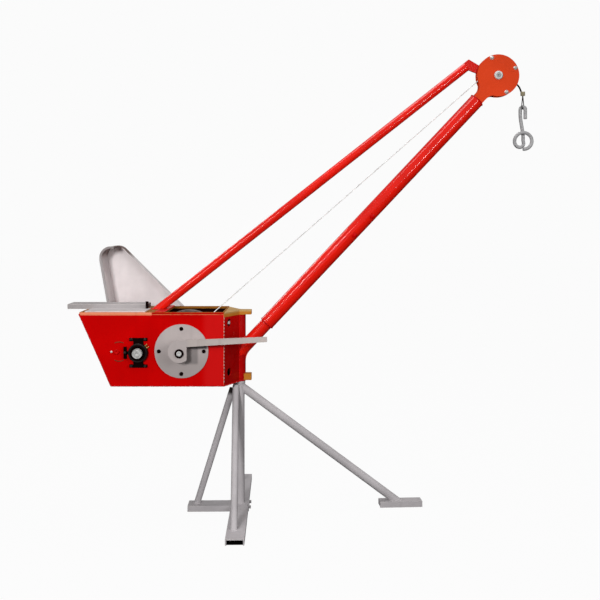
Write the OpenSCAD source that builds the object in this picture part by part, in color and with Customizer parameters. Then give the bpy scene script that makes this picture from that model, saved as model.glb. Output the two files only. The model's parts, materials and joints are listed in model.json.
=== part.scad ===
// Builder's hoist crane on a welded pipe stand.
// A winch box with a pipe boom slews on the top of the stand's post.
// X runs along the boom, Y across the box, Z up. The origin is on the slewing axis at floor level.

/* [Stand] */
// Width of the stand's channel beams
beam_w = 89; // [76:1:100]
// Height of the channel beams
beam_h = 30; // [26:1:36]
// Wall of the channel beams
beam_t = 6; // [4:0.5:8]
// Length of the beam that lies across the boom
cross_beam_l = 1020; // [900:10:1200]
// Reach of the short side beam behind the slewing axis
side_beam_reach = 266; // [240:2:300]
// Reach of the forked stub in front of the slewing axis
stub_reach = 58; // [54:1:70]
// Web left out of the forked stub, measured from its tip
stub_notch = 10; // [6:1:12]
// Outside diameter of the post pipe
post_d = 48.3; // [44:0.1:50]
// Wall of the post pipe
post_wall = 4; // [3:0.5:6]
// End of the post below the nose plate
post_room = 8; // [5:1:12]
// Height of the thrust collar's top above the floor
slew_h = 664; // [600:2:760]
// Height of the thrust collar
collar_h = 12; // [8:1:16]
// Outside diameter of the thrust collar
collar_d = 56; // [54:0.5:62]
// Outside diameter of the three rear strut pipes
strut_d = 33.4; // [28:0.2:36]
// Outside diameter of the front strut pipe
front_strut_d = 42.2; // [38:0.2:46]
// Wall of the strut pipes
strut_wall = 3.4; // [2.5:0.1:4]
// Drop of the struts' upper ends below the collar's top
strut_drop = 24; // [22:1:34]
// Left strut's upper end below the near and far struts' upper ends
left_strut_drop = 16; // [15:1:40]
// How far the left strut's end is cut away by the post
strut_lap = 4; // [3:0.5:10]
// Offset of the near and far struts' upper ends behind the slewing axis
strut_skew = 20; // [14:1:22]
// Where the near and far struts land, behind the slewing axis
cross_foot_back = 10; // [0:1:20]
// Where the left strut lands, behind the slewing axis
left_strut_reach = 221; // [190:1:240]
// Where the near and far struts land, beside the slewing axis
cross_strut_reach = 392; // [340:2:440]
// Where the front strut lands, in front of the slewing axis
front_strut_reach = 812; // [760:2:860]
// Length of the front foot
foot_l = 221; // [180:1:260]
// Width of the front foot
foot_w = 65; // [60:1:80]
// Foot in front of the strut's landing point
foot_lead = 136; // [110:1:150]
// Turn of the stand's beams under the boom
stand_turn = 1.3; // [0:0.1:4]
// Turn of the front strut and its foot under the boom
front_turn = 3.5; // [0:0.1:5]

/* [Winch box] */
// Outside width of the box over its side plates
box_w = 330; // [310:1:360]
// Height of the side plates
box_h = 356; // [350:1:390]
// Front corner of the box behind the slewing axis
box_front = 68; // [60:1:80]
// Rear end of the box at its top
box_rear_top = 789; // [760:1:830]
// Rear end of the box at its bottom
box_rear_bottom = 635; // [600:1:660]
// Thickness of the side plates and front walls
side_t = 6; // [4:0.5:8]
// Thickness of the rear and bottom plates
skin_t = 5; // [4:0.5:8]
// Thickness of the top plate
top_t = 11; // [8:0.5:13]
// Length of the drum opening in the top plate
mouth_l = 290; // [260:1:295]
// Rim of the top plate in front of the drum opening
mouth_front_rim = 7; // [5:1:12]
// Rim of the top plate beside the drum opening
mouth_side_rim = 14; // [12:1:24]
// Thickness of the nose plate
nose_t = 22; // [16:1:26]
// Top of the nose plate below the top plate's upper face
nose_drop = 3; // [2:0.5:6]
// Reach of the nose plates in front of the slewing axis
nose_reach = 60; // [52:1:70]
// Width of the nose plates at their tip
nose_w = 60; // [50:1:62]
// Height of the lower nose block
lower_nose_h = 34; // [24:1:40]
// Width of the lower nose block
lower_nose_w = 42; // [34:1:50]
// Lower nose block above the box's bottom
lower_nose_rise = 3; // [2:0.5:8]
// Outside diameter of the pivot sleeve
sleeve_d = 60.3; // [58:0.1:66]
// Diameter of the holes in the front walls
wall_hole_d = 40; // [30:1:44]
// Front wall holes behind the slewing axis
wall_hole_x = 45; // [30:1:50]
// Lower holes above the box's bottom
wall_hole_rise = 62; // [50:1:80]
// Upper holes below the box's top
wall_hole_drop = 46; // [42:1:60]

/* [Drum and lever] */
// Drum shaft behind the slewing axis
drum_x = 279; // [270:1:290]
// Drum shaft above the box's bottom
drum_z = 174; // [170:1:176]
// Width added to the shafts for their holes in the side plates
shaft_room = 12; // [8:1:14]
// Diameter of the drum shaft
drum_shaft_d = 30; // [26:1:34]
// Outside diameter of the drum's barrel
barrel_d = 60.3; // [56:0.1:66]
// Wall of the drum's barrel
barrel_wall = 4; // [3:0.5:5]
// Diameter of the drum's near flange
flange_d = 190; // [160:1:192]
// Thickness of the drum's near flange
flange_t = 6; // [4:0.5:8]
// Near face of the drum's near flange, beside the boom's plane
drum_near = 140; // [136:1:146]
// Far face of the drum's friction wheel, beside the boom's plane
drum_far = 140; // [136:1:146]
// Diameter of the friction wheel on the drum
wheel_d = 356; // [340:1:358]
// Width of the friction wheel's rim
wheel_w = 45; // [36:1:50]
// Depth of the friction wheel's rim
wheel_rim = 18; // [12:1:24]
// Thickness of the friction wheel's web
wheel_web = 10; // [6:1:14]
// Diameter of the friction wheel's hub
wheel_hub_d = 84; // [76:1:96]
// Diameter of the drum cover
cover_d = 268; // [262:1:280]
// Thickness of the drum cover
cover_t = 8; // [6:0.5:12]
// Bolt circle of the drum cover
cover_bolt_circle = 224; // [216:1:230]
// Diameter of the drum cover's bolts
cover_bolt_d = 8; // [6:0.5:10]
// Diameter of the drum cover's bolt heads
cover_bolt_head_d = 19; // [14:0.5:20]
// Height of the drum cover's bolt heads
cover_bolt_head_h = 5; // [3:0.5:8]
// Opening in the near side plate behind the drum cover
drum_port_d = 198; // [194:1:202]
// Diameter of the far drum bearing
far_cover_d = 120; // [100:1:130]
// Stand-off of the lever from the near side plate
lever_gap = 85; // [80:1:100]
// Thickness of the lever
lever_t = 8; // [6:0.5:10]
// Diameter of the lever's round hub plate
lever_hub_d = 111; // [100:1:120]
// Middle of the hub plate above the drum shaft
lever_hub_rise = 10; // [0:1:14]
// Flat of the hub plate in front of the drum shaft
lever_hub_flat = 36; // [30:1:44]
// Reach of the lever in front of the drum shaft
lever_reach = 429; // [380:1:460]
// Height of the lever at its tip
lever_tip_h = 25; // [20:1:30]
// Height of the lever at its hub
lever_root_h = 35; // [30:1:40]
// Rise of the lever's top edge from hub to tip
lever_rise = 17; // [8:1:30]
// Diameter of the nut that keeps the lever
lever_nut_d = 44; // [38:1:50]
// End of the drum shaft past the far bearing
drum_shaft_reach = 10; // [6:1:16]
// Thickness of the nut that keeps the lever
lever_nut_t = 8; // [6:1:12]

/* [Input drive] */
// Input shaft behind the slewing axis
input_x = 493; // [488:1:500]
// Input shaft above the box's bottom
input_z = 167; // [160:1:174]
// Diameter of the input shaft
input_d = 40; // [34:1:44]
// Diameter of the collar on the input shaft's near end
input_collar_d = 49; // [46:1:54]
// Reach of the input shaft's collar out of its bearing
input_collar_reach = 20; // [16:1:30]
// Diameter of the friction pinion
pinion_d = 62; // [50:1:63]
// Width of the friction pinion
pinion_w = 54; // [46:1:58]
// Depth of the input bearings from the side plates
bearing_depth = 26; // [20:1:30]
// Diameter of the bearing housings
bearing_d = 96; // [88:1:104]
// Depth of the recess round the shaft in the bearing housings
bearing_recess = 5; // [3:1:8]
// Length of the bearings' feet
bearing_foot_l = 88; // [76:1:96]
// Thickness of the bearings' feet
bearing_foot_t = 14; // [10:1:18]
// Height over the bearings' feet
bearing_span = 146; // [138:1:156]
// Diameter of the drive pulley
pulley_d = 320; // [280:1:330]
// Width of the drive pulley
pulley_w = 44; // [36:1:50]
// Depth of the drive pulley's rim
pulley_rim = 22; // [17:1:30]
// Thickness of the drive pulley's web
pulley_web = 10; // [6:1:14]
// Wall of the drive pulley's hub
pulley_hub_t = 20; // [16:1:30]
// Width of the belt grooves at their bottom
pulley_groove_foot = 8; // [6:1:10]
// Depth of the drive pulley's belt grooves
pulley_groove = 13; // [9:1:14]
// Gap from the far bearing to the drive pulley
pulley_gap = 12; // [8:1:20]

/* [Motor seat and guard] */
// Rear end of the motor rail behind the slewing axis
rail_rear = 893; // [860:1:930]
// Front end of the motor rail behind the slewing axis
rail_front = 483; // [480:1:490]
// Width of the motor rail
rail_w = 128; // [110:1:140]
// Height of the motor rail
rail_h = 25; // [20:1:30]
// Wall of the motor rail
rail_t = 5; // [4:0.5:8]
// Rear end of the motor plate behind the slewing axis
motor_plate_rear = 763; // [740:1:780]
// Front end of the motor plate behind the slewing axis
motor_plate_front = 462; // [460:1:470]
// Width of the motor plate in front of the rail
motor_plate_w = 158; // [140:1:164]
// Thickness of the motor plate
motor_plate_t = 5; // [4:0.5:8]
// Diameter of the rail's stop bolt
rail_bolt_d = 15; // [12:0.5:16]
// Height of the rail's stop bolt
rail_bolt_h = 36; // [30:1:44]
// Stop bolt behind the motor plate's front end
rail_bolt_back = 15; // [10:1:30]
// Stop bolt in front of the rail's face
rail_bolt_gap = 20; // [12:1:40]
// Depth of the belt guard from the far side plate to its panel's face
guard_depth = 195; // [170:1:220]
// Sheet thickness of the belt guard
guard_t = 2.5; // [2:0.5:4]
// Depth of the guard's outer rim
guard_rim_depth = 62; // [40:1:80]
// Start of the guard's open side, in front of its upper corner
guard_opening = 14; // [0:1:50]
// Radius of the guard's upper corner
guard_top_r = 64; // [56:1:72]
// Guard's upper corner behind the slewing axis
guard_top_x = 704; // [690:1:720]
// Guard's upper corner above the box's bottom
guard_top_z = 624; // [600:1:640]
// Radius of the guard around the drive pulley
guard_pulley_r = 192; // [186:1:198]
// Radius of the guard around the far drum bearing
guard_drum_r = 95; // [90:1:104]
// Start of the guard's open side, below the box's top
guard_opening_drop = 20; // [10:1:40]
// Guard's lower circle behind the drum shaft
guard_drum_back = 11; // [0:1:20]
// Guard's lower circle below the drum shaft
guard_drum_drop = 5; // [0:1:20]
// Width of the guard's flange along the box
guard_lip = 12; // [8:1:16]

/* [Boom and brace] */
// Angle of the boom above the horizontal
boom_angle = 46.7; // [43:0.1:49]
// Sheave's centre from the sleeve's front, along the boom
boom_reach = 1908; // [1800:1:2050]
// Outside diameter of the boom pipe
boom_d = 74.8; // [73:0.2:80]
// Wall of the boom pipe
boom_wall = 4.5; // [4:0.1:5]
// Length of the bare stub between sleeve and boom pipe
stub_l = 160; // [140:1:180]
// Length of the stub inside the boom pipe
stub_in = 90; // [60:1:120]
// Wall of the boom's stub
stub_wall = 5; // [4:0.5:8]
// Thickness of the plate closing the boom's upper end
boom_cap_t = 6; // [4:0.5:10]
// Thickness of the gusset under the stub
gusset_t = 12; // [8:1:20]
// Radius of the gusset's hollow edge
gusset_r = 78; // [66:1:84]
// Outside diameter of the brace pipe
brace_d = 45; // [42:0.5:50]
// Wall of the brace pipe
brace_wall = 3.6; // [3:0.1:5]
// Middle of the brace's foot behind the slewing axis
brace_foot_x = 422; // [420:1:428]
// Length of the pad under the foot of the brace, along the box
brace_pad_l = 45; // [40:1:50]
// Thickness of the pad under the brace's foot
brace_pad_t = 4; // [3:0.5:6]
// Pad's edges inside the box's side plates
brace_pad_inset = 3; // [2:0.5:10]
// Brace's upper end behind the sheave's centre, along the boom
lug_back = 77; // [70:1:86]
// Brace's upper end above the boom's axis
lug_rise = 150; // [144:1:158]
// Thickness of the brace's lug
lug_t = 12; // [8:1:16]
// Reach of the lug's peak past the end of the brace
lug_peak = 34; // [24:1:40]
// Diameter of the lug's boss between the head plates
lug_boss_d = 40; // [30:1:44]

/* [Head] */
// Radius of the round head plates
head_r = 108; // [104:1:116]
// Sheave's centre above the boom's axis
head_rise = 9; // [0:1:14]
// Width over the head plates
head_w = 50; // [44:1:56]
// Thickness of the head plates
head_t = 5; // [4:0.5:6]
// Width of the head plates' neck
neck_w = 58; // [50:1:66]
// Radius of the hollow between neck and head
neck_r = 45; // [36:1:52]
// Head plates' neck end from the sheave's centre
neck_l = 165; // [158:1:176]
// Outside diameter of the sheave
sheave_d = 128; // [118:1:136]
// Wall of the sheave's hub
sheave_hub_t = 10; // [6:1:14]
// Width of the sheave's lips
sheave_lip = 2; // [1.5:0.5:4]
// Width of the sheave
sheave_w = 26; // [20:1:30]
// Pitch diameter of the rope on the sheave
sheave_pitch_d = 94; // [90:1:100]
// Diameter of the sheave's axle
axle_d = 24; // [20:1:30]
// Diameter of the axle's round heads
axle_head_d = 44; // [38:1:50]
// Thickness of the axle's round heads
axle_head_t = 8; // [5:1:12]
// Bolt circle of the head's spacers
spacer_circle = 192; // [184:1:198]
// Angle of the lowest spacer below the horizontal
spacer_low = 64; // [56:1:72]
// Angle from each spacer to the next
spacer_step = 87; // [80:1:92]
// Diameter of the head's spacers
spacer_d = 16; // [12:1:18]

/* [Rope and hook] */
// Diameter of the wire rope
rope_d = 5; // [4:0.2:6]
// Width of rope wound on the drum
coil_w = 150; // [100:1:170]
// Angle of the rope's end to the vertical where it leaves the sheave
rope_exit_angle = 41.7; // [39:0.1:44]
// Length of rope from the sheave to the bend above the ferrule
rope_end_l = 117; // [112:1:130]
// Height of the bend above the ferrule
rope_end_drop = 25; // [18:1:34]
// Lead of the rope's end over that height
rope_end_lead = 11; // [6:0.5:14]
// Width of the ferrule
ferrule_w = 24; // [20:0.5:28]
// Thickness of the ferrule
ferrule_t = 13; // [11:0.5:16]
// Height of the ferrule
ferrule_h = 21; // [14:1:24]
// Offset of the ferrule's middle from the rope above it
ferrule_lead = 8; // [6:0.5:8]
// Length of the rope eye below the ferrule
eye_l = 72; // [64:1:80]
// Radius of the rope eye's bend
eye_r = 18; // [17:0.5:20]
// Turn of the rope eye out of the boom's plane
eye_turn = 60; // [50:1:75]
// Diameter of the hook's bar
hook_d = 18; // [15:0.5:18.5]
// Radius of the bend at the top of the hook
hook_eye_r = 13; // [13:0.5:15]
// Length of the hook's short leg below its top bend
hook_leg_l = 50; // [40:1:56]
// Middle of the hook's coil below the rope eye
hook_drop = 163; // [156:1:176]
// Middle of the hook's coil behind the rope eye
hook_shift = 1; // [0:0.5:6]
// Radius of the hook's coil at its open end
hook_coil_r = 43.5; // [42:0.5:46]
// Radius of the hook's coil where it leaves the shank
hook_first_r = 24; // [23:0.5:26]
// Pitch of the hook's coil
hook_pitch = 24; // [23:0.5:28]
// Degrees that the hook's coil goes round
hook_sweep = 555; // [500:5:560]

/* [Hidden] */

$fn = 96;
// Gap left between welded or bolted pieces
fit = 0.1;
// Running gap between pieces that turn on each other
run = 0.3;
// Overshoot of cutting shapes past the piece that they cut
over = 1;
// Larger than the whole crane
huge = 6000;

// Heights
box_z = slew_h + 2;
box_top = box_z + box_h;
deck_z = box_top + top_t;
nose_z = deck_z - nose_drop - nose_t;
strut_top = slew_h - strut_drop;

// Box
half_w = box_w / 2;
inner_w = half_w - side_t;
sleeve_r = sleeve_d / 2;
sleeve_z = slew_h + run;
wall_run = [box_front, half_w - sleeve_r];
wall_len = norm(wall_run);
wall_dir = wall_run / wall_len;
wall_angle = atan2(wall_run[1], wall_run[0]);
wall_in = side_t / wall_dir[0];
mouth_front = box_front + mouth_front_rim;
mouth_half = half_w - mouth_side_rim;
mouth_mid = mouth_front + mouth_l / 2;
rear_slope = (box_rear_top - box_rear_bottom) / box_h;

// Shafts
drum_at = [-drum_x, 0, box_z + drum_z];
input_at = [-input_x, 0, box_z + input_z];
shaft_r = drum_shaft_d / 2;
wheel_near = drum_far - wheel_w;
lever_y = half_w + lever_gap;
pulley_y = half_w + bearing_depth + pulley_gap;
coil_r = barrel_d / 2 + rope_d;
leave_r = coil_r + rope_d / 2 + run;

// Boom
boom_at = [sleeve_r, 0, box_z + box_h / 2];
boom_dir = [cos(boom_angle), 0, sin(boom_angle)];
boom_up = [-sin(boom_angle), 0, cos(boom_angle)];
head_at = boom_at + boom_reach * boom_dir + head_rise * boom_up;
boom_end = boom_reach - neck_l;
boom_bore = boom_d - 2 * boom_wall;
stub_d = boom_bore - 2 * run;
gap_half = head_w / 2 - head_t;

// Brace
lug_at = head_at - lug_back * boom_dir + lug_rise * boom_up;
brace_foot = [-brace_foot_x, 0, deck_z];
brace_run = lug_at - brace_foot;
brace_angle = atan2(brace_run[2], brace_run[0]);
brace_l = norm(brace_run);

// Rope: a straight line that touches the coil and the sheave from above
pitch_r = sheave_pitch_d / 2;
rope_span = head_at - drum_at;
rope_line_angle = atan2(rope_span[2], rope_span[0]) - asin((pitch_r - leave_r) / norm(rope_span));
rope_side = rope_line_angle + 90;
rope_leave = head_at + pitch_r * polar(rope_exit_angle);
rope_bend = rope_leave + rope_end_l * polar(rope_exit_angle - 90);
ferrule_top = rope_bend[2] - rope_end_drop;
rope_end_x = rope_bend[0] + rope_end_lead;
eye_x = rope_end_x + ferrule_lead;
eye_bottom = ferrule_top - ferrule_h - eye_l;
hook_pin_z = eye_bottom + rope_d / 2;
hook_bend_z = hook_pin_z + rope_d / 2 + run + hook_d / 2 - hook_eye_r;

// Slot that the friction wheel needs in the bottom plate
wheel_room = 7;
wheel_slot = 2 * sqrt(pow(wheel_d / 2 + wheel_room, 2) - pow(drum_z - skin_t - wheel_room / 2, 2));

// Points and frames in the boom's plane
function polar(a) = [cos(a), 0, sin(a)];
function at_plane(v) = [v[0], v[2]];

// A bar or rope swept along points, as rings of a many-sided section
swept_sides = 12;
function unit(v) = v / norm(v);
function heading(p, i) = unit(p[min(i + 1, len(p) - 1)] - p[max(i - 1, 0)]);
function square_to(v, t) = unit(v - (v * t) * t);
function carried(p, side, i = 0) =
    i == len(p) ? [] :
    let (n = square_to(side, heading(p, i)))
    concat([n], carried(p, n, i + 1));
function ring(c, t, n, r, sides) =
    [for (k = [0:sides - 1]) c + r * (cos(360 * k / sides) * n + sin(360 * k / sides) * cross(t, n))];

module swept(p, d, side) {
    sides = swept_sides;
    ns = carried(p, side);
    count = len(p);
    points = [for (i = [0:count - 1]) each ring(p[i], heading(p, i), ns[i], d / 2, sides)];
    walls = [
        for (i = [0:count - 2], k = [0:sides - 1])
            let (a = i * sides + k, b = i * sides + (k + 1) % sides)
            each [[a, a + sides, b], [b, a + sides, b + sides]]
    ];
    first = [for (k = [0:sides - 1]) k];
    last = [for (k = [sides - 1:-1:0]) (count - 1) * sides + k];
    polyhedron(points = points, faces = concat(walls, [first, last]));
}

// A flat shape drawn in X and Z, filling from y0 to y1
module slab(y0, y1) {
    translate([0, y1, 0]) rotate([90, 0, 0]) linear_extrude(y1 - y0) children();
}

// A round bar along Y
module y_rod(at, d, y0, y1) {
    translate([at[0], y1, at[2]]) rotate([90, 0, 0]) cylinder(d = d, h = y1 - y0);
}

// A pipe from one point towards another
module pipe(from, to, d, wall) {
    way = to - from;
    translate(from)
        rotate([0, -acos(way[2] / norm(way)), atan2(-way[1], -way[0])])
        difference() {
            cylinder(d = d, h = norm(way));
            translate([0, 0, -over]) cylinder(d = d - 2 * wall, h = norm(way) + 2 * over);
        }
}

// A channel beam along X with its open side down
module channel(x0, x1, w, h, t) {
    translate([x0, 0, 0])
        difference() {
            translate([0, -w / 2, 0]) cube([x1 - x0, w, h]);
            translate([-over, -w / 2 + t, -over]) cube([x1 - x0 + 2 * over, w - 2 * t, h - t + over]);
        }
}

// ---- Stand ----

module cross_beam() {
    color("darkgray")
        difference() {
            rotate([0, 0, 90 + stand_turn]) channel(-cross_beam_l / 2, cross_beam_l / 2, beam_w, beam_h, beam_t);
            cylinder(d = post_d + 2 * fit, h = 2 * beam_h);
        }
}

module side_beam() {
    color("darkgray")
        rotate([0, 0, stand_turn])
        channel(-side_beam_reach, -beam_w / 2 - fit, beam_w, beam_h, beam_t);
}

module fork_stub() {
    notch_x = stub_reach - stub_notch;
    color("darkgray")
        rotate([0, 0, stand_turn])
        difference() {
            channel(beam_w / 2 + fit, stub_reach, beam_w, beam_h, beam_t);
            translate([notch_x, -beam_w / 2 + beam_t, 0]) cube([huge, beam_w - 2 * beam_t, huge]);
            translate([notch_x, -huge / 2, -over]) cube([huge, huge, beam_h / 2 + over]);
        }
}

module post() {
    color("silver")
        difference() {
            cylinder(d = post_d, h = nose_z - post_room);
            translate([0, 0, beam_t]) cylinder(d = post_d - 2 * post_wall, h = huge);
        }
}

module thrust_collar() {
    color("silver")
        translate([0, 0, slew_h - collar_h])
        difference() {
            cylinder(d = collar_d, h = collar_h);
            translate([0, 0, -over]) cylinder(d = post_d + 2 * fit, h = collar_h + 2 * over);
        }
}

// What is left of a strut above its beam and outside the post
module trimmed() {
    difference() {
        children();
        cylinder(d = post_d + 2 * fit, h = huge);
        translate([-huge / 2, -huge / 2, -huge]) cube([huge, huge, huge + beam_h + fit]);
    }
}

module left_strut() {
    foot = [-left_strut_reach, 0, beam_h];
    head = [-(post_d + strut_d) / 2 + strut_lap, 0, strut_top - left_strut_drop];
    color("darkgray")
        rotate([0, 0, stand_turn])
        trimmed()
        pipe(foot - (head - foot) / 20, head, strut_d, strut_wall);
}

// A strut from the cross beam up to the post, on the side that "side" gives as -1 or 1
module cross_strut(side) {
    foot = [-cross_foot_back, side * cross_strut_reach, beam_h];
    head = [-strut_skew, side * (post_d / 2), strut_top];
    color("darkgray")
        rotate([0, 0, stand_turn])
        trimmed()
        pipe(foot - (head - foot) / 20, head, strut_d, strut_wall);
}

module near_strut() {
    cross_strut(-1);
}

module far_strut() {
    cross_strut(1);
}

module front_strut() {
    foot = [front_strut_reach, 0, beam_h];
    head = [0, 0, slew_h - collar_h - post_d / 4];
    color("silver")
        rotate([0, 0, front_turn])
        trimmed()
        pipe(foot - (head - foot) / 20, head, front_strut_d, strut_wall);
}

module front_foot() {
    tip = front_strut_reach + foot_lead;
    color("darkgray") rotate([0, 0, front_turn]) channel(tip - foot_l, tip, foot_w, beam_h, beam_t);
}

// ---- Winch box ----

module side_outline() {
    polygon([
        [-box_front, box_z],
        [-box_front, box_top],
        [-box_rear_top, box_top],
        [-box_rear_bottom, box_z]
    ]);
}

module near_side_plate() {
    color("red")
        difference() {
            slab(-half_w, -inner_w) side_outline();
            y_rod(drum_at, drum_port_d, -half_w - over, 0);
            y_rod(input_at, input_d + shaft_room, -half_w - over, 0);
        }
}

module far_side_plate() {
    color("red")
        difference() {
            slab(inner_w, half_w) side_outline();
            y_rod(drum_at, drum_shaft_d + shaft_room, 0, half_w + over);
            y_rod(input_at, input_d + shaft_room, 0, half_w + over);
        }
}

module rear_plate() {
    step = skin_t * sqrt(1 + rear_slope * rear_slope);
    color("red")
        slab(-inner_w + fit, inner_w - fit)
        polygon([
            [-box_rear_top, box_top],
            [-box_rear_bottom, box_z],
            [-box_rear_bottom + step, box_z],
            [-box_rear_top + step, box_top]
        ]);
}

module bottom_plate() {
    rear = -box_rear_bottom + skin_t * sqrt(1 + rear_slope * rear_slope) + fit;
    tip_x = -sleeve_r / 2;
    tip_y = sleeve_r - (wall_run[1] / wall_run[0]) * tip_x - wall_in - fit;
    color("red")
        translate([0, 0, box_z])
        difference() {
            linear_extrude(skin_t) polygon([
                [rear, -inner_w + fit],
                [-box_front - fit, -inner_w + fit],
                [-box_front - fit, wall_in + 4 * fit - half_w],
                [tip_x, -tip_y],
                [tip_x, tip_y],
                [-box_front - fit, half_w - wall_in - 4 * fit],
                [-box_front - fit, inner_w - fit],
                [rear, inner_w - fit]
            ]);
            translate([0, 0, -over]) cylinder(d = sleeve_d + 2 * fit, h = skin_t + 2 * over);
            translate([-drum_x - wheel_slot / 2, wheel_near - wheel_room, -over])
                cube([wheel_slot, wheel_w + 2 * wheel_room, skin_t + 2 * over]);
        }
}

// A slanted wall from the box's near corner to the pivot sleeve
module front_wall() {
    color("red")
        difference() {
            translate([0, 0, box_z])
                linear_extrude(nose_z - fit - box_z)
                polygon([
                    [-box_front + fit, -half_w],
                    [0, -sleeve_r],
                    [-wall_dir[1] * side_t, -sleeve_r + wall_dir[0] * side_t],
                    [-box_front + fit, -half_w + wall_in]
                ]);
            cylinder(d = sleeve_d + 2 * fit, h = huge);
            for (z = [wall_hole_rise, box_h - wall_hole_drop])
                translate([-wall_hole_x, -sleeve_r - wall_run[1] * wall_hole_x / wall_run[0], box_z + z])
                    rotate([90, 0, wall_angle])
                    cylinder(d = wall_hole_d, h = 10 * side_t, center = true);
        }
}

module near_front_wall() {
    front_wall();
}

module far_front_wall() {
    mirror([0, 1, 0]) front_wall();
}

module top_plate() {
    color("goldenrod")
        translate([0, 0, box_top])
        difference() {
            translate([-box_rear_top, -half_w, 0]) cube([box_rear_top - box_front, box_w, top_t]);
            translate([-mouth_front - mouth_l, -mouth_half, -over]) cube([mouth_l, 2 * mouth_half, top_t + 2 * over]);
        }
}

module nose_plate() {
    color("goldenrod")
        translate([0, 0, nose_z])
        linear_extrude(nose_t)
        polygon([
            [-box_front + fit, -half_w],
            [0, -sleeve_r - side_t],
            [nose_reach, -nose_w / 2],
            [nose_reach, nose_w / 2],
            [0, sleeve_r + side_t],
            [-box_front + fit, half_w]
        ]);
}

module lower_nose() {
    color("goldenrod")
        translate([0, 0, box_z + lower_nose_rise])
        difference() {
            translate([sleeve_r / 2, -lower_nose_w / 2, 0])
                cube([nose_reach - sleeve_r / 2, lower_nose_w, lower_nose_h]);
            translate([0, 0, -over]) cylinder(d = sleeve_d + 2 * fit, h = lower_nose_h + 2 * over);
        }
}

module pivot_sleeve() {
    color("red")
        translate([0, 0, sleeve_z])
        difference() {
            cylinder(d = sleeve_d, h = nose_z - fit - sleeve_z);
            translate([0, 0, -over]) cylinder(d = post_d + 2 * run, h = huge);
        }
}

// ---- Covers and bearings ----

module drum_cover() {
    color("silver")
        difference() {
            y_rod(drum_at, cover_d, -half_w - cover_t, -half_w);
            y_rod(drum_at, drum_shaft_d + 2 * run, -half_w - 2 * cover_t, 0);
            for (a = [0:90:270])
                y_rod(drum_at + cover_bolt_circle / 2 * polar(a), cover_bolt_d + 2 * fit, -half_w - 2 * cover_t, 0);
        }
}

module cover_bolts() {
    face = -half_w - cover_t - fit;
    color("black")
        for (a = [0:90:270]) {
            at = drum_at + cover_bolt_circle / 2 * polar(a);
            y_rod(at, cover_bolt_head_d, face - cover_bolt_head_h, face);
            y_rod(at, cover_bolt_d, face - over, -half_w - fit);
        }
}

module far_drum_bearing() {
    color("silver")
        difference() {
            y_rod(drum_at, far_cover_d, half_w, half_w + cover_t);
            y_rod(drum_at, drum_shaft_d + 2 * run, 0, half_w + 2 * cover_t);
        }
}

// A round bearing housing with a foot above, below and behind, on the outside of the near side plate
module input_bearing() {
    color("black") difference() {
        union() {
            y_rod(input_at, bearing_d, -half_w - bearing_depth, -half_w);
            translate(input_at + [-bearing_d / 4, -half_w - bearing_foot_t, -bearing_span / 2])
                cube([bearing_d / 2, bearing_foot_t, bearing_span]);
            for (z = [-bearing_span / 2, bearing_span / 2 - bearing_foot_t])
                translate(input_at + [-bearing_foot_l / 2, -half_w - bearing_foot_t, z])
                    cube([bearing_foot_l, bearing_foot_t, bearing_foot_t]);
            translate(input_at + [-bearing_span / 2, -half_w - bearing_foot_t, -bearing_foot_l / 3])
                cube([bearing_foot_t, bearing_foot_t, bearing_foot_l * 2 / 3]);
            translate(input_at + [-bearing_span / 2, -half_w - bearing_foot_t, -bearing_foot_t / 2])
                cube([bearing_span / 2, bearing_foot_t, bearing_foot_t]);
        }
        y_rod(input_at, input_d + 2 * run, -half_w - 2 * bearing_depth, 0);
        y_rod(
            input_at,
            input_collar_d + shaft_room,
            -half_w - 2 * bearing_depth,
            -half_w - bearing_depth + bearing_recess
        );
    }
}

module near_input_bearing() {
    input_bearing();
}

module far_input_bearing() {
    mirror([0, 1, 0]) input_bearing();
}

// ---- Motor seat and guard ----

module motor_rail() {
    color("darkgray")
        translate([0, rail_w / 2, deck_z])
        channel(-rail_rear, -rail_front, rail_w, rail_h, rail_t);
}

module motor_plate() {
    color("lightgray")
        translate([-motor_plate_rear, -motor_plate_w - fit, deck_z])
        cube([motor_plate_rear - motor_plate_front, motor_plate_w, motor_plate_t]);
}

module rail_bolt() {
    color("black")
        translate([-motor_plate_front - rail_bolt_back, -rail_bolt_gap, deck_z + motor_plate_t])
        cylinder(d = rail_bolt_d, h = rail_bolt_h);
}

guard_circles = [
    [[-guard_top_x, box_z + guard_top_z], guard_top_r],
    [at_plane(input_at), guard_pulley_r],
    [at_plane(drum_at) - [guard_drum_back, guard_drum_drop], guard_drum_r]
];

// Outward angle of the straight edge that leaves one of the guard's circles, going anticlockwise
function edge_out(i) =
    let (a = guard_circles[i % 3], b = guard_circles[(i + 1) % 3])
    atan2(b[0][1] - a[0][1], b[0][0] - a[0][0]) - acos((a[1] - b[1]) / norm(b[0] - a[0]));

// The guard's outline: three arcs joined by the straight edges that touch them
function guard_points(inset) = [
    for (i = [0:2])
        let (
            first = edge_out(i + 2),
            turn = ((edge_out(i) - first) % 360 + 360) % 360,
            steps = ceil(turn / 6)
        )
        for (k = [0:steps])
            let (a = first + turn * k / steps)
            guard_circles[i][0] + (guard_circles[i][1] - inset) * [cos(a), sin(a)]
];

module guard_outline(inset) {
    polygon(guard_points(inset));
}

module guard_ring(width) {
    difference() {
        guard_outline(0);
        guard_outline(width);
    }
}

guard_face = half_w + guard_depth;

module guard_panel() {
    color("gainsboro") slab(guard_face - guard_t, guard_face) guard_outline(0);
}

// The guard's wall: its inner part is open above the box on the boom's side
module guard_rim() {
    color("gainsboro") {
        difference() {
            union() {
                slab(half_w + fit, guard_face - guard_t - fit) guard_ring(guard_t);
                slab(half_w + fit, half_w + fit + guard_t) guard_ring(guard_lip);
            }
            translate([-guard_top_x + guard_opening, 0, box_top - guard_opening_drop])
                cube([huge, guard_face - guard_rim_depth, huge]);
        }
    }
}

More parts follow.
